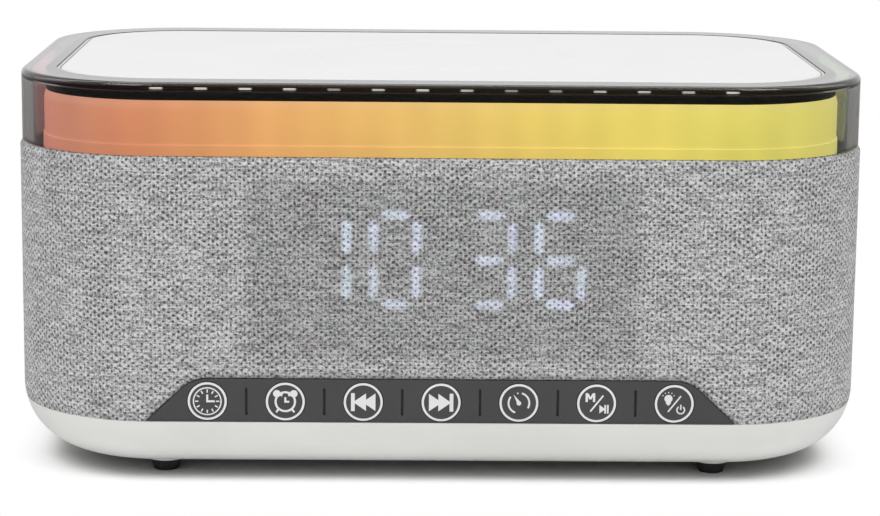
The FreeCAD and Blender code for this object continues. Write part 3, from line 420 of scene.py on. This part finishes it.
black_with_painted_dashes = lamp_shade()
print("black ring made, dashes", round((DASH_HEIGHT - shade_low.z) / MM, 2), "mm above its foot")


# %% [markdown]
# ## A plan for things that follow the body
#
# The body's plan is a rectangle with round corners. The cloth is a long strip wrapped round that plan, so the
# most useful tool is one that turns a distance along the strip into a place and an outward direction. With it, a
# flat grid can be bent round the body, and its flat coordinates stay as the UV map that the weave needs.

# %% Walk along the body's plan
ARC = CORNER * math.pi / 2
GIRTH = 4 * STRAIGHT_X + 4 * STRAIGHT_Y + 4 * ARC


def plan_place(distance):
    """The point on the body's plan and its outward direction, at a distance to the right of the front's middle."""
    corner, flank, half = ("arc", ARC), ("line", 2 * STRAIGHT_Y), ("line", STRAIGHT_X)
    runs = [half, corner, flank, corner, half, half, corner, flank, corner, half]
    left = distance % GIRTH
    x, y, heading = 0.0, -HALF_DEPTH, 0.0
    for kind, length in runs:
        step = min(left, length)
        if kind == "line":
            x += step * math.cos(heading)
            y += step * math.sin(heading)
        else:
            turn = step / CORNER
            x += CORNER * (math.sin(heading + turn) - math.sin(heading))
            y += CORNER * (math.cos(heading) - math.cos(heading + turn))
            heading += turn
        left -= step
        if left <= 0:
            break
    return Vector((x, y, 0)), Vector((math.sin(heading), -math.cos(heading), 0))


def draw_in(z):
    """How far the body's skin curves inwards at a height, where the side turns into the underside."""
    centre = UNDERSIDE + BOTTOM_RADIUS
    if z >= centre:
        return 0.0
    return BOTTOM_RADIUS - math.sqrt(BOTTOM_RADIUS ** 2 - (centre - z) ** 2)


print("girth", round(GIRTH, 4), "drawn in at the cloth's hem", round(draw_in(cloth_low.z), 5))


# %% [markdown]
# ## The woven cover
#
# The cover is one stretched sleeve of coarse speckled cloth with a cut-out for the keys and one for the sockets.
# It starts as a flat grid, loses the faces inside the cut-outs, and has the raw edges moved exactly onto the
# outlines. Then the grid is bent round the body. Near a cut edge the cloth rolls inwards, as a glued edge does.

# %% Measure distance to the two cut-outs
FOOT_FIT = 0.25 * MM
FLANK_RUN = 10.6 * MM
FLANK_RISE = 10.1 * MM
STRIP_SLOPE = math.atan2(FLANK_RISE, FLANK_RUN)
SHOULDER = 9.0 * MM
PANEL_CORNER = 3.0 * MM


def strip_distance(x, z):
    """The distance from a point on the front to the key strip's outline, below zero inside it."""
    across = abs(x)
    top = cloth_low.z + FLANK_RISE
    foot_x = strip_high.x + FOOT_FIT
    flank = (across - foot_x) * math.sin(STRIP_SLOPE) + (z - cloth_low.z) * math.cos(STRIP_SLOPE)
    above = z - top
    centre = Vector((foot_x - FLANK_RUN - SHOULDER * math.tan(STRIP_SLOPE / 2), top - SHOULDER))
    away = Vector((across, z)) - centre
    if away.x > 0 and away.y > 0 and away.y * math.tan(STRIP_SLOPE) > away.x:
        return away.length - SHOULDER
    return max(flank, above)


def panel_distance(x, z):
    """The distance from a point on the back to the socket panel's outline, below zero inside it."""
    middle_z = (panel_low.z + panel_high.z) / 2
    reach_x = abs(x) - (panel_high.x - PANEL_CORNER)
    reach_z = abs(z - middle_z) - ((panel_high.z - panel_low.z) / 2 - PANEL_CORNER)
    outside = math.hypot(max(reach_x, 0), max(reach_z, 0))
    return outside + min(max(reach_x, reach_z), 0) - PANEL_CORNER


def cut_distance(u, z):
    """The distance to the nearest cut-out for a point of the flat sleeve."""
    if abs(u) < GIRTH / 4:
        return strip_distance(u, z)
    return panel_distance(GIRTH / 2 - abs(u), z)


print("cut-outs measured, strip middle", round(strip_distance(0, cloth_low.z) * 1000, 2), "mm")

# %% [markdown]
# The flat grid is made with square cells of a little over a millimetre. A vertex beside a cut-out is moved along
# the slope of the distance function until the distance is zero, which puts it on the outline.

# %% Bring the raw edges onto the outlines
CELL = 1.15 * MM
EDGE_ROLL = 0.9 * MM
ROLL_DEPTH = 0.75
OUTLINE_PASSES = 3
SMALLEST_SLOPE = 0.2


def onto_outline(u, z):
    """Moves a flat point onto the nearest cut-out's outline."""
    step = 0.02 * MM
    for _ in range(OUTLINE_PASSES):
        gap = cut_distance(u, z)
        slope_u = (cut_distance(u + step, z) - gap) / step
        slope_z = (cut_distance(u, z + step) - gap) / step
        size = max(slope_u ** 2 + slope_z ** 2, SMALLEST_SLOPE)
        u -= gap * slope_u / size
        z -= gap * slope_z / size
    return u, max(z, cloth_low.z)


def roll(distance):
    """How deep the cloth sits at a distance from an edge."""
    if distance >= EDGE_ROLL:
        return 0.0
    share = 1 - max(distance, 0.0) / EDGE_ROLL
    return EDGE_ROLL * ROLL_DEPTH * (1 - math.sqrt(max(1 - share ** 2, 0.0)))


print("cloth at a cut edge sits", round(roll(0) / MM, 2), "mm deep")

# %% Cut and shape the sleeve
UV_PER_METRE = 10
CLOTH_WALL = 0.56 * MM


def sleeve():
    """The cover as a thin shell bent round the body, with its flat shape kept as a UV map."""
    height = cloth_high.z - cloth_low.z
    columns = round(GIRTH / CELL)
    rows = round(height / CELL)
    sheet = bmesh.new()
    uv = sheet.loops.layers.uv.new("flat")
    bmesh.ops.create_grid(sheet, x_segments=columns, y_segments=rows, size=0.5)
    bmesh.ops.scale(sheet, vec=(GIRTH, height, 1), verts=sheet.verts)
    bmesh.ops.translate(sheet, vec=(0, cloth_low.z + height / 2, 0), verts=sheet.verts)
    inside = [face for face in sheet.faces if cut_distance(*face.calc_center_median()[:2]) < 0]
    bmesh.ops.delete(sheet, geom=inside, context="FACES")
    for vert in sheet.verts:
        if vert.is_boundary and abs(cut_distance(vert.co.x, vert.co.y)) < 2 * CELL:
            vert.co.x, vert.co.y = onto_outline(vert.co.x, vert.co.y)
    for face in sheet.faces:
        for loop in face.loops:
            loop[uv].uv = (loop.vert.co.x * UV_PER_METRE, loop.vert.co.y * UV_PER_METRE)
    for vert in sheet.verts:
        u, z = vert.co.x, vert.co.y
        place, outward = plan_place(u)
        hem = min(cut_distance(u, z), cloth_high.z - z)
        depth = draw_in(z) + roll(hem)
        vert.co = place - outward * depth + Vector((0, 0, z))
    bmesh.ops.remove_doubles(sheet, verts=sheet.verts, dist=0.01 * MM)
    bmesh.ops.recalc_face_normals(sheet, faces=sheet.faces)
    area = sum(face.calc_area() for face in sheet.faces)
    for face in sheet.faces:
        face.smooth = True
    mesh = bpy.data.meshes.new("woven_cover")
    sheet.to_mesh(mesh)
    sheet.free()
    cover = bpy.data.objects.new("woven_cover", mesh)
    bpy.context.scene.collection.objects.link(cover)
    wall = cover.modifiers.new("wall", "SOLIDIFY")
    wall.thickness = CLOTH_WALL
    wall.offset = -1.0
    return cover, area


cover, cover_area = sleeve()
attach(cover, "housing")
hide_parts("fabric_cover")
print("cover of", len(cover.data.polygons), "faces, area", round(cover_area, 5), "square metres")

# %% [markdown]
# ## The weave and the digits behind it
#
# The cloth is a coarse basket weave: pale strands cross at a slant and leave small dark gaps, staggered from row
# to row. The product of two cosines gives that lattice. Noise bends it and speckles it, and three stretched noises
# draw fibres, upright strands and long slubs in pale and dark yarn. The digits are bars of light behind the cloth,
# so their glow is strongest on the pale strands and soft at its edges.

# %% Work out which bars of the digits are lit
STROKE = 2.4 * MM
DIGIT_WIDTH = 12.0 * MM
DIGIT_HEIGHT = lit_high.z - lit_low.z
DIGIT_MIDDLE = (lit_low.z + lit_high.z) / 2
DIGIT_CENTRES = [place * MM for place in (-26.2, -10.6, 10.6, 26.2)]
BARS = {"0": "abcdef", "1": "bc", "3": "abcdg", "6": "acdefg"}
BAR_GLOW = 2.3 * MM
UPRIGHT_BAR = 3.45 * MM
FLAT_BAR = 2.9 * MM
EDGE_FADE = (-0.9 * MM, 0.6 * MM)
rise = (DIGIT_HEIGHT - STROKE) / 2
side = (DIGIT_WIDTH - STROKE) / 2
BAR_PLACES = {"a": (0, rise, True), "g": (0, 0, True), "d": (0, -rise, True), "f": (-side, rise / 2, False),
              "b": (side, rise / 2, False), "e": (-side, -rise / 2, False), "c": (side, -rise / 2, False)}
lit_bars = []
for centre, digit in zip(DIGIT_CENTRES, "1036"):
    for name in BARS[digit]:
        across, up, flat = BAR_PLACES[name]
        lit_bars.append((centre + across, DIGIT_MIDDLE + up, flat))
print(len(lit_bars), "bars lit")


# %% Draw the yarn
PITCH_ACROSS = 2.0
PITCH_UP = 0.73
BEND_ACROSS = 1.0
BEND_UP = 0.5
SECOND_WAVE = 0.2
SPECKLE = 2.0
PATCHES = 1.0


def stretched_noise(paint, point, stretch, detail, roughness):
    """Noise drawn out into streaks by a scale for each direction of the cloth."""
    where = paint.node("ShaderNodeMapping", inputs={"Vector": point, "Scale": (*stretch, 1.0)})
    return paint.noise(where, 1.0, detail, roughness)


def weave_gaps(paint, point, wander, patches):
    """1 in the dark gaps between the strands and 0 on the strands."""
    u, v, _ = paint.axes(point)
    wander_across = paint.noise(point, 0.9, 1.0)
    u_bent = (u + (wander - 0.5) * BEND_ACROSS) * (math.tau / PITCH_ACROSS)
    v_bent = (v + (wander_across - 0.5) * BEND_UP) * (math.pi / PITCH_UP)
    lattice = u_bent.cosine() * v_bent.cosine() + (u_bent * 2).cosine() * SECOND_WAVE
    speckle = paint.noise(point, 0.8, 2.0)
    return (lattice + (speckle - 0.5) * SPECKLE + (patches - 0.5) * PATCHES).between(0.15, 1.3)


print("weave of", PITCH_ACROSS, "by", PITCH_UP, "mm")


# %% Let the digits and their window show through
WINDOW_FADE = 2.5 * MM


def bar_glow(paint, x, z):
    """1 on a lit bar of the digits, falling softly to 0 beside it."""
    glow_sum = None
    for bar_x, bar_z, flat in lit_bars:
        across = abs(x - bar_x)
        along = abs(z - bar_z)
        if flat:
            across, along = along, across
        half_length = FLAT_BAR if flat else UPRIGHT_BAR
        reach = (across - BAR_GLOW / 2).largest(across + along - half_length - BAR_GLOW / 4)
        shine = 1 - reach.between(*EDGE_FADE)
        glow_sum = shine if glow_sum is None else glow_sum.largest(shine)
    return glow_sum


def window_shape(x, z):
    """1 in front of the display's window, falling softly to 0 beside it."""
    half_width = (window_high.x - window_low.x) / 2
    half_height = (window_high.z - window_low.z) / 2
    middle_z = (window_high.z + window_low.z) / 2
    beside = (abs(x) - half_width).largest(abs(z - middle_z) - half_height)
    return 1 - beside.between(-WINDOW_FADE, WINDOW_FADE)


print("window", round((window_high.x - window_low.x) / MM, 1), "mm wide behind the cloth")


# %% Weave the cloth
FIBRES = 0.42
STRANDS = 0.36
SLUBS = 0.22
LIT_YARN = 0.45
LOST_IN_GAPS = 0.7
FRONT_FACE = (HALF_DEPTH - 3 * MM, HALF_DEPTH - 2 * MM)


def woven_cloth():
    """Grey speckled basket weave with lit digits showing through."""
    paint = Paint("woven_cloth", Roughness=0.95, IOR=1.45, Sheen_Weight=0.15, Sheen_Roughness=0.6,
                  Emission_Strength=1.0)
    flat = paint.node("ShaderNodeUVMap", {"uv_map": "flat"})
    in_millimetres = 1 / (UV_PER_METRE * MM)
    point = paint.node("ShaderNodeVectorMath", {"operation": "SCALE"}, {0: flat, "Scale": in_millimetres})
    wander = paint.noise(point, 0.35, 2.0)
    patches = paint.noise(point, 0.11, 2.0)
    gap = weave_gaps(paint, point, wander, patches)
    fibres = stretched_noise(paint, point, (0.9, 2.7), 3.0, 0.65)
    strands = stretched_noise(paint, point, (2.3, 1.0), 2.0, 0.6)
    slubs = stretched_noise(paint, point, (0.15, 1.1), 2.0, 0.5)
    melange = fibres * FIBRES + strands * STRANDS + slubs * SLUBS
    pale = paint.mix(melange.between(0.4, 0.6), tone(116), tone(207))
    color = paint.mix(gap, pale, tone(70, 70, 71))

    x, y, z = paint.axes(paint.place())
    front = (y * -1).between(*FRONT_FACE)
    tint = paint.noise(point, 0.22, 1.0).between(0.35, 0.65)
    leak = paint.mix(tint, tone(225, 228, 226), tone(228, 225, 227))
    color = paint.mix(window_shape(x, z) * front, color, leak, "MULTIPLY")

    glow_mask = bar_glow(paint, x + (wander - 0.5) * 0.8 * MM, z) * front
    lit = glow_mask * (1 - gap * LOST_IN_GAPS) * (patches.between(0.3, 0.7) * 0.4 + 0.6)
    lit_yarn = paint.mix(tint, tone(196, 210, 210), tone(206, 204, 222))
    paint.set("Base Color", paint.mix(lit * LIT_YARN, color, lit_yarn))
    paint.set("Roughness", 0.95 - lit * 0.1)
    paint.set("Emission Color", paint.mix(lit * (melange * 1.6 + 0.2), BLACK, tone(120, 129, 150)))
    paint.bump((1 - gap) * 0.7 + fibres * 0.3, 0.35 * MM, 0.8)
    return paint.material


cover.data.materials.clear()
cover.data.materials.append(woven_cloth())
print("cloth woven")


# %% [markdown]
# ## Marks printed on the keys
#
# Each key has a pale printed ring and a small pictogram. They are drawn flat, in the XZ plane, from a few simple
# shapes, then laid on the key's face, which follows the body and so curves inwards towards the bottom. A mark
# stands three hundredths of a millimetre proud, as a thick print does. Each shape of a mark lies in a layer of its
# own, two thousandths of a millimetre in front of the one before, so that no two faces share a plane.

# %% Draw flat shapes for the marks
KEY_RING = (4.39, 0.52)
PRINT = 0.03 * MM
LAYER = 0.002 * MM
FACE_INSET = 0.3 * MM
RING_STEP = 8
STANDING = Matrix.Rotation(math.pi / 2, 4, "X")


class Mark:
    """A flat drawing on the XZ plane that becomes one printed mark."""

    def __init__(self, centre_x, centre_z):
        self.mesh = bmesh.new()
        self.centre = Vector((centre_x, 0, centre_z))
        self.layer = 0

    def put(self, verts, x, z, turn=0.0):
        """Moves new points to their place, given in millimetres from the key's centre, in a layer of their own."""
        self.layer += 1
        offset = Vector((x * MM, -LAYER * self.layer, z * MM))
        place = Matrix.Translation(self.centre + offset) @ Matrix.Rotation(turn, 4, "Y")
        bmesh.ops.transform(self.mesh, matrix=place, verts=verts)

    def disc(self, radius, x=0.0, z=0.0, segments=40):
        """A filled circle."""
        made = bmesh.ops.create_circle(self.mesh, cap_ends=True, segments=segments, radius=radius * MM,
                                       matrix=STANDING)
        self.put(made["verts"], x, z)

    def ring(self, radius, stroke, x=0.0, z=0.0, start=0.0, end=360.0):
        """A circle's outline, or part of it, as a band of the stroke's width. Angles are in degrees from the top."""
        low, high = math.radians(start), math.radians(end)
        steps = max(6, round((high - low) / math.radians(RING_STEP)))
        arm = [self.mesh.verts.new((0, 0, (radius - share * stroke) * MM)) for share in (0, 1)]
        edge = self.mesh.edges.new(arm)
        made = bmesh.ops.spin(self.mesh, geom=[*arm, edge], cent=(0, 0, 0), axis=(0, 1, 0), dvec=(0, 0, 0),
                              angle=high - low, steps=steps, use_merge=end - start >= 360, use_duplicate=False)
        ends = {part for part in made["geom_last"] if isinstance(part, bmesh.types.BMVert)}
        linked = self.island(ends | {vert for vert in arm if vert.is_valid})
        if low:
            bmesh.ops.rotate(self.mesh, cent=(0, 0, 0), matrix=Matrix.Rotation(low, 3, "Y"), verts=linked)
        self.put(linked, x, z)

    def island(self, seeds):
        """Every point joined to the given ones by edges."""
        found = set(seeds)
        queue = list(seeds)
        while queue:
            for edge in queue.pop().link_edges:
                for vert in edge.verts:
                    if vert not in found:
                        found.add(vert)
                        queue.append(vert)
        return list(found)

    def bar(self, length, stroke, x=0.0, z=0.0, turn=0.0):
        """A straight stroke, upright before it turns, with its middle at x and z. Turns are in degrees."""
        made = bmesh.ops.create_grid(self.mesh, x_segments=1, y_segments=4, size=0.5 * MM, matrix=STANDING)
        bmesh.ops.scale(self.mesh, vec=(stroke, 1, length), verts=made["verts"])
        self.put(made["verts"], x, z, math.radians(turn))

    def hand(self, length, stroke, x, z, turn):
        """A stroke that starts at a point and runs out from it, like a clock's hand."""
        angle = math.radians(turn)
        self.bar(length, stroke, x + math.sin(angle) * length / 2, z + math.cos(angle) * length / 2, turn)

    def triangle(self, length, width, x, z, turn=0.0):
        """A filled triangle that points to the right before it turns, with its middle at x and z."""
        pointing_right = STANDING @ Matrix.Rotation(-math.pi / 2, 4, "Z")
        made = bmesh.ops.create_circle(self.mesh, cap_ends=True, segments=3, radius=MM, matrix=pointing_right)
        made_length, made_width = 1.5, math.sqrt(3)
        bmesh.ops.scale(self.mesh, vec=(length / made_length, 1, width / made_width), verts=made["verts"])
        self.put(made["verts"], x, z, math.radians(turn))

    def finish(self, name, body):
        """Lays the drawing on the key's curved face and gives it its print."""
        bmesh.ops.triangulate(self.mesh, faces=[face for face in self.mesh.faces if len(face.verts) > 4])
        curve_top = UNDERSIDE + BOTTOM_RADIUS
        radius = BOTTOM_RADIUS - FACE_INSET
        for vert in self.mesh.verts:
            depth = FACE_INSET
            if vert.co.z < curve_top:
                depth = BOTTOM_RADIUS - math.sqrt(radius ** 2 - (curve_top - vert.co.z) ** 2)
            vert.co.y += -HALF_DEPTH + depth - PRINT
        for face in self.mesh.faces:
            face.normal_update()
            if face.normal.y > 0:
                face.normal_flip()
        mesh = bpy.data.meshes.new(name)
        self.mesh.to_mesh(mesh)
        self.mesh.free()
        print_object = bpy.data.objects.new(name, mesh)
        bpy.context.scene.collection.objects.link(print_object)
        mesh.materials.append(print_white)
        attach(print_object, body)


print_white = moulded("print_white", tone(222), 0.65, grain=0.006)
print("drawing tools ready")


# %% [markdown]
# The seven pictograms are a clock face, a twin-bell alarm, back, forward, a sleep timer, a mode letter with play
# and pause, and a lamp with a power sign. Each is a short list of strokes, with sizes in millimetres from the key's
# centre and angles in degrees from the top.

# %% Draw the seven pictograms
def mark_clock(mark):
    """A clock face with twelve ticks."""
    mark.ring(3.25, 0.3)
    mark.hand(1.75, 0.46, 0, -0.2, 0)
    mark.hand(1.9, 0.46, -0.2, 0, 90)
    for hour in range(12):
        angle = hour * 30
        reach = math.radians(angle)
        mark.bar(0.75, 0.3, math.sin(reach) * 2.35, math.cos(reach) * 2.35, angle)


def mark_alarm(mark):
    """A twin-bell alarm clock."""
    mark.ring(2.42, 0.48)
    mark.hand(1.25, 0.44, 0, -0.2, 0)
    mark.hand(1.1, 0.44, -0.2, 0, 90)
    for side_sign in (-1, 1):
        mark.disc(0.85, side_sign * 1.9, 1.85, 20)
        mark.bar(1.5, 0.7, side_sign * 1.35, 1.75, side_sign * 75)
        mark.bar(1.0, 0.46, side_sign * 1.75, -2.05, -side_sign * 35)


def mark_skip(mark, direction):
    """Two triangles and a bar, for the previous or the next track."""
    turn = 0 if direction > 0 else 180
    for shift in (-1.78, 0.34):
        mark.triangle(2.9, 4.05, direction * shift, 0, turn)
    mark.bar(4.15, 0.85, direction * 2.33, 0)


def mark_sleep(mark):
    """A timer dial: two open arcs round a needle on a hub."""
    mark.ring(2.55, 0.42, 0, 0, 16, 120)
    mark.ring(2.55, 0.42, 0, 0, 200, 308)
    mark.disc(0.52, 0, -0.05, 20)
    mark.triangle(2.5, 0.85, -0.38, 0.62, -122)
    mark.disc(0.2, -0.28, 2.25, 12)


def mark_mode(mark):
    """The letter M over a slash, with play and pause below it."""
    mark.bar(4.7, 0.38, 0.05, 0, 38)
    for upright in (-2.25, -0.6):
        mark.bar(2.05, 0.52, upright, 1.38)
    mark.bar(1.4, 0.46, -1.75, 1.62, 152)
    mark.bar(1.4, 0.46, -1.1, 1.62, 28)
    mark.triangle(1.35, 2.0, 1.1, -1.3)
    for upright in (1.95, 2.55):
        mark.bar(2.0, 0.4, upright, -1.3)


def mark_light(mark):
    """A lamp with rays and a power sign on either side of a slash."""
    mark.bar(4.65, 0.34, 0.05, 0, 38)
    mark.disc(0.92, -1.33, 1.2, 24)
    mark.bar(0.7, 1.1, -1.33, 0.35)
    mark.bar(0.4, 0.6, -1.33, -0.1)
    for angle in range(-60, 61, 30):
        reach = math.radians(angle)
        mark.disc(0.15, -1.33 + math.sin(reach) * 1.45, 1.2 + math.cos(reach) * 1.45, 8)
    mark.ring(1.02, 0.32, 1.49, -1.39, 35, 325)
    mark.bar(1.2, 0.32, 1.49, -0.75)


drawings = {
    "clock": mark_clock,
    "alarm": mark_alarm,
    "previous": lambda mark: mark_skip(mark, -1),
    "next": lambda mark: mark_skip(mark, 1),
    "sleep": mark_sleep,
    "mode_play": mark_mode,
    "light_power": mark_light,
}
for key_name, draw in drawings.items():
    key_low, key_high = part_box("key_" + key_name)
    middle = (key_low + key_high) / 2
    sketch = Mark(middle.x, middle.z)
    sketch.ring(*KEY_RING)
    draw(sketch)
    sketch.finish("mark_" + key_name, "key_" + key_name + "_button")
print(len(drawings), "key marks printed")

# %% [markdown]
# ## Finishes for the inner pieces
#
# The inner pieces hardly show, but they still get finishes that suit them: green and white circuit boards with a
# solder-resist gloss, drawn metals, copper windings and black paper cones.

# %% Make metals, boards and windings
def brushed(name, color, roughness, scale=(900.0, 900.0, 60.0)):
    """Metal with fine drawn lines."""
    paint = Paint(name, Metallic=1.0)
    where = paint.node("ShaderNodeMapping", inputs={"Vector": paint.place(), "Scale": scale})
    lines = paint.noise(where, 1.0, 3.0)
    paint.set("Base Color", paint.mix(lines * 0.25, color, tone(90)))
    paint.set("Roughness", lines * 0.2 + (roughness - 0.1))
    paint.bump(lines, 0.01 * MM)
    return paint.material


def circuit(name, color, traces):
    """Solder resist with faint copper traces under it."""
    paint = Paint(name, Coat_Weight=0.3)
    where = paint.place(1 / MM)
    x, y, z = paint.axes(where)
    across, along = (x * 2.2).cosine(), ((y + z) * 1.7).cosine()
    tracks = across.largest(along).between(0.82, 0.9)
    broken = paint.noise(where, 0.25, 1.0).between(0.48, 0.52)
    paint.set("Base Color", paint.mix(tracks * broken * 0.6, color, traces))
    paint.set("Roughness", tracks * 0.1 + 0.3)
    paint.bump(tracks, 0.03 * MM)
    return paint.material


def wound(name, color, wire=0.8):
    """Fine enamelled wire in rings round the upright axis, as thick as the wire in millimetres."""
    paint = Paint(name, Metallic=0.8)
    x, y, _ = paint.axes(paint.place(1 / MM))
    radius = (x * x + y * y).power(0.5)
    turns = (radius * (math.tau / wire)).cosine()
    paint.set("Base Color", paint.mix(turns * 0.5 + 0.5, tone(120, 62, 36), color))
    paint.set("Roughness", turns * 0.1 + 0.35)
    paint.bump(turns, 0.2 * MM)
    return paint.material


print("helpers for metals, boards and windings ready")

# %% [markdown]
# The imported model names a material slot for every piece. A table gives each slot its finish, and one loop dresses
# the pieces. The black ring shares its slot with other black pieces, so it is given its painted lamp reflections on
# its own.

# %% Give every piece its finish
finishes = {
    "white_plastic": white_plastic,
    "pad_white": pad_plastic,
    "black_plastic": black_plastic,
    "strip_plastic": strip_plastic,
    "key_plastic": key_plastic,
    "foot_rubber": foot_rubber,
    "smoked_clear": smoke.material,
    "ring_glow": glow,
    "screw_steel": brushed("screw_steel", tone(190), 0.35),
    "socket_steel": brushed("socket_steel", tone(200), 0.3),
    "cell_steel": brushed("cell_steel", tone(205), 0.3),
    "basket_steel": moulded("basket_paint", tone(44), 0.4),
    "magnet": moulded("magnet_ferrite", tone(58), 0.6, grain=0.05),
    "ferrite": moulded("shield_ferrite", tone(52), 0.7, grain=0.03),
    "copper": wound("copper_wire", tone(205, 122, 74)),
    "board_green": circuit("board_green", tone(24, 92, 52), tone(60, 130, 80)),
    "board_white": circuit("board_white", tone(225), tone(205, 200, 180)),
    "chip_black": moulded("chip_resin", tone(34), 0.5, grain=0.03),
    "switch_plastic": moulded("switch_resin", tone(40), 0.45),
    "plunger_plastic": moulded("plunger_resin", tone(150, 60, 48), 0.4),
    "led_white": moulded("lamp_body", tone(236, 230, 200), 0.35),
    "lit_bar": moulded("lit_bar", tone(225, 234, 255), 0.4, Emission_Color=tone(215, 226, 255),
                       Emission_Strength=0.8),
    "dark_bar": moulded("dark_bar", tone(120, 120, 124), 0.4),
    "dark_film": moulded("dark_film", tone(24, 24, 26), 0.15, grain=0.002, Transmission_Weight=0.6),
    "cone_paper": moulded("cone_paper", tone(46), 0.85, grain=0.08, grain_size=0.5),
    "surround_rubber": moulded("surround_rubber", tone(36), 0.6),
    "spider_cloth": moulded("spider_cloth", tone(176, 148, 104), 0.9, grain=0.1, grain_size=0.6),
}
slot_of = {part["node"]: part["material_slot"] for part in frame["record"]["subparts"]}
for name, piece in nodes.items():
    slot_name = slot_of[name]
    if slot_name in finishes:
        piece.data.materials.clear()
        piece.data.materials.append(finishes[slot_name])
nodes["shade_ring"].data.materials.clear()
nodes["shade_ring"].data.materials.append(black_with_painted_dashes)
print("finishes given to", len(nodes), "pieces")


# %% [markdown]
# ## Floor, light and camera
#
# A plain studio keeps the picture simple: the floor and the world look white to the camera, and the floor keeps
# the clock's shadow close round its outline, a little wider at the front and back. Under the clock a painted shadow
# makes the floor's colour a shade darker. Reflections show the floor grey, because a white one would brighten the
# ends of the smoked cap too much. Three large soft lamps and an even world light the clock. The camera stands low in
# front of it.

# %% Lay the floor
SHADOW_START = -10.0 * MM
SHADOW_END = 4.0 * MM
SHADOW_WIDENED = 8.5 * MM
PAINTED_SHADOW_START = -13.0 * MM
PAINTED_SHADOW_END = -3.0 * MM
MIRRORED_FLOOR = 0.5
FLOOR_REACH = 0.45


def footprint_distance(x, y):
    """How far a point of the floor lies outside the clock's outline, seen from above."""
    beyond_x = (abs(x) - STRAIGHT_X).largest(0.0)
    beyond_y = (abs(y) - STRAIGHT_Y).largest(0.0)
    return (beyond_x * beyond_x + beyond_y * beyond_y).power(0.5) - CORNER


def floor():
    """A round white floor that keeps the shadow under the clock, with a painted shadow darkening its colour there.
    """
    sweep = bmesh.new()
    bmesh.ops.create_circle(sweep, cap_ends=True, segments=96, radius=FLOOR_REACH)
    mesh = bpy.data.meshes.new("floor")
    sweep.to_mesh(mesh)
    sweep.free()
    ground = bpy.data.objects.new("floor", mesh)
    bpy.context.scene.collection.objects.link(ground)
    paint = Paint("floor_white", Roughness=0.9)
    paint.set("Specular IOR Level", 0.0)
    x, y, _ = paint.axes(paint.place())
    outside = footprint_distance(x, y)
    # painted shadow: the floor's colour is darker under the clock
    paint.set("Base Color", paint.mix(outside.between(PAINTED_SHADOW_START, PAINTED_SHADOW_END), tone(214), tone(250)))
    middle = 1 - abs(x).between(STRAIGHT_X * 0.7, HALF_WIDTH)
    away = (outside - middle * SHADOW_WIDENED).between(SHADOW_START, SHADOW_END)
    camera_ray, mirrored, through_glass = paint.rays()
    seen = camera_ray.largest(through_glass).largest(mirrored)
    white, grey = (paint.node("ShaderNodeEmission", inputs={"Color": WHITE, "Strength": strength})
                   for strength in (1.0, MIRRORED_FLOOR))
    bright = paint.node("ShaderNodeMixShader", inputs=(mirrored, white, grey))
    shaded = Value(paint, paint.shader.outputs[0])
    surface = paint.node("ShaderNodeMixShader", inputs=(away * seen, shaded, bright))
    paint.feed(paint.output.inputs["Surface"], surface)
    mesh.materials.append(paint.material)


floor()
print("floor laid")


# %% Surround the clock with light
LOW_MIRRORED = 0.3


def world(level, dim):
    """White to the camera and through glass, a plain level as light, and dim in reflections from front and below."""
    studio = bpy.data.worlds.new("studio")
    bpy.context.scene.world = studio
    studio.use_nodes = True
    graph = Graph(studio.node_tree)
    camera_ray, mirrored, through_glass = graph.rays()
    seen = camera_ray.largest(through_glass)
    _, y, z = graph.axes(graph.node("ShaderNodeTexCoord"))
    behind = (y + z).between(-0.5, 0.6)
    above = z.between(-0.15, 0.0) * (1 - LOW_MIRRORED) + LOW_MIRRORED
    reflected = (behind * (1 - dim) + dim) * above
    strength = seen + (1 - seen) * (mirrored * reflected + (1 - mirrored) * level)
    background = graph.tree.nodes["Background"]
    graph.feed(background.inputs["Color"], WHITE)
    graph.feed(background.inputs["Strength"], strength)


world(level=0.55, dim=0.12)
print("world made")


# %% Hang the lamps
def lamp(name, place, aim, size, watts):
    """A soft square lamp that points at a spot."""
    light = bpy.data.lights.new(name, "AREA")
    light.size = size
    light.energy = watts
    holder = bpy.data.objects.new(name, light)
    holder.location = place
    holder.rotation_euler = (Vector(aim) - Vector(place)).to_track_quat("-Z", "Y").to_euler()
    bpy.context.scene.collection.objects.link(holder)


middle_of_clock = (0, 0, 0.05)
lamp("overhead", (0.0, 0.3, 1.5), middle_of_clock, size=1.0, watts=4.0)
for name, x in (("front_left", -0.7), ("front_right", 0.7)):
    lamp(name, (x, -0.85, 1.5), middle_of_clock, size=0.8, watts=11.0)
print("lamps hung")

# %% [markdown]
# The camera's place, turn and focal length were fitted to the edges of a clock in a picture, so they aren't round
# numbers. The focal length is kept in pixels of an 880 pixel wide picture and turned into millimetres of lens.

# %% Place the camera
CAMERA_PLACE = Vector((-0.01139, -0.64657, 0.16204))
CAMERA_YAW = 0.01847
CAMERA_PITCH = 0.18459
CAMERA_ROLL = 0.01035
SENSOR_WIDTH = 36.0
PICTURE_WIDTH = 880
FOCAL_PIXELS = 2674.15
camera_data = bpy.data.cameras.new("camera")
camera_data.sensor_width = SENSOR_WIDTH
camera_data.lens = FOCAL_PIXELS * SENSOR_WIDTH / PICTURE_WIDTH
camera_data.clip_start = 0.01
camera = bpy.data.objects.new("camera", camera_data)
turn = (Matrix.Rotation(-CAMERA_YAW, 4, "Z") @ Matrix.Rotation(math.pi / 2 - CAMERA_PITCH, 4, "X")
        @ Matrix.Rotation(CAMERA_ROLL, 4, "Z"))
camera.matrix_world = Matrix.Translation(CAMERA_PLACE) @ turn
bpy.context.scene.collection.objects.link(camera)
bpy.context.scene.camera = camera
bpy.context.scene.view_settings.view_transform = "Standard"
print("camera lens", round(camera_data.lens, 2), "mm")
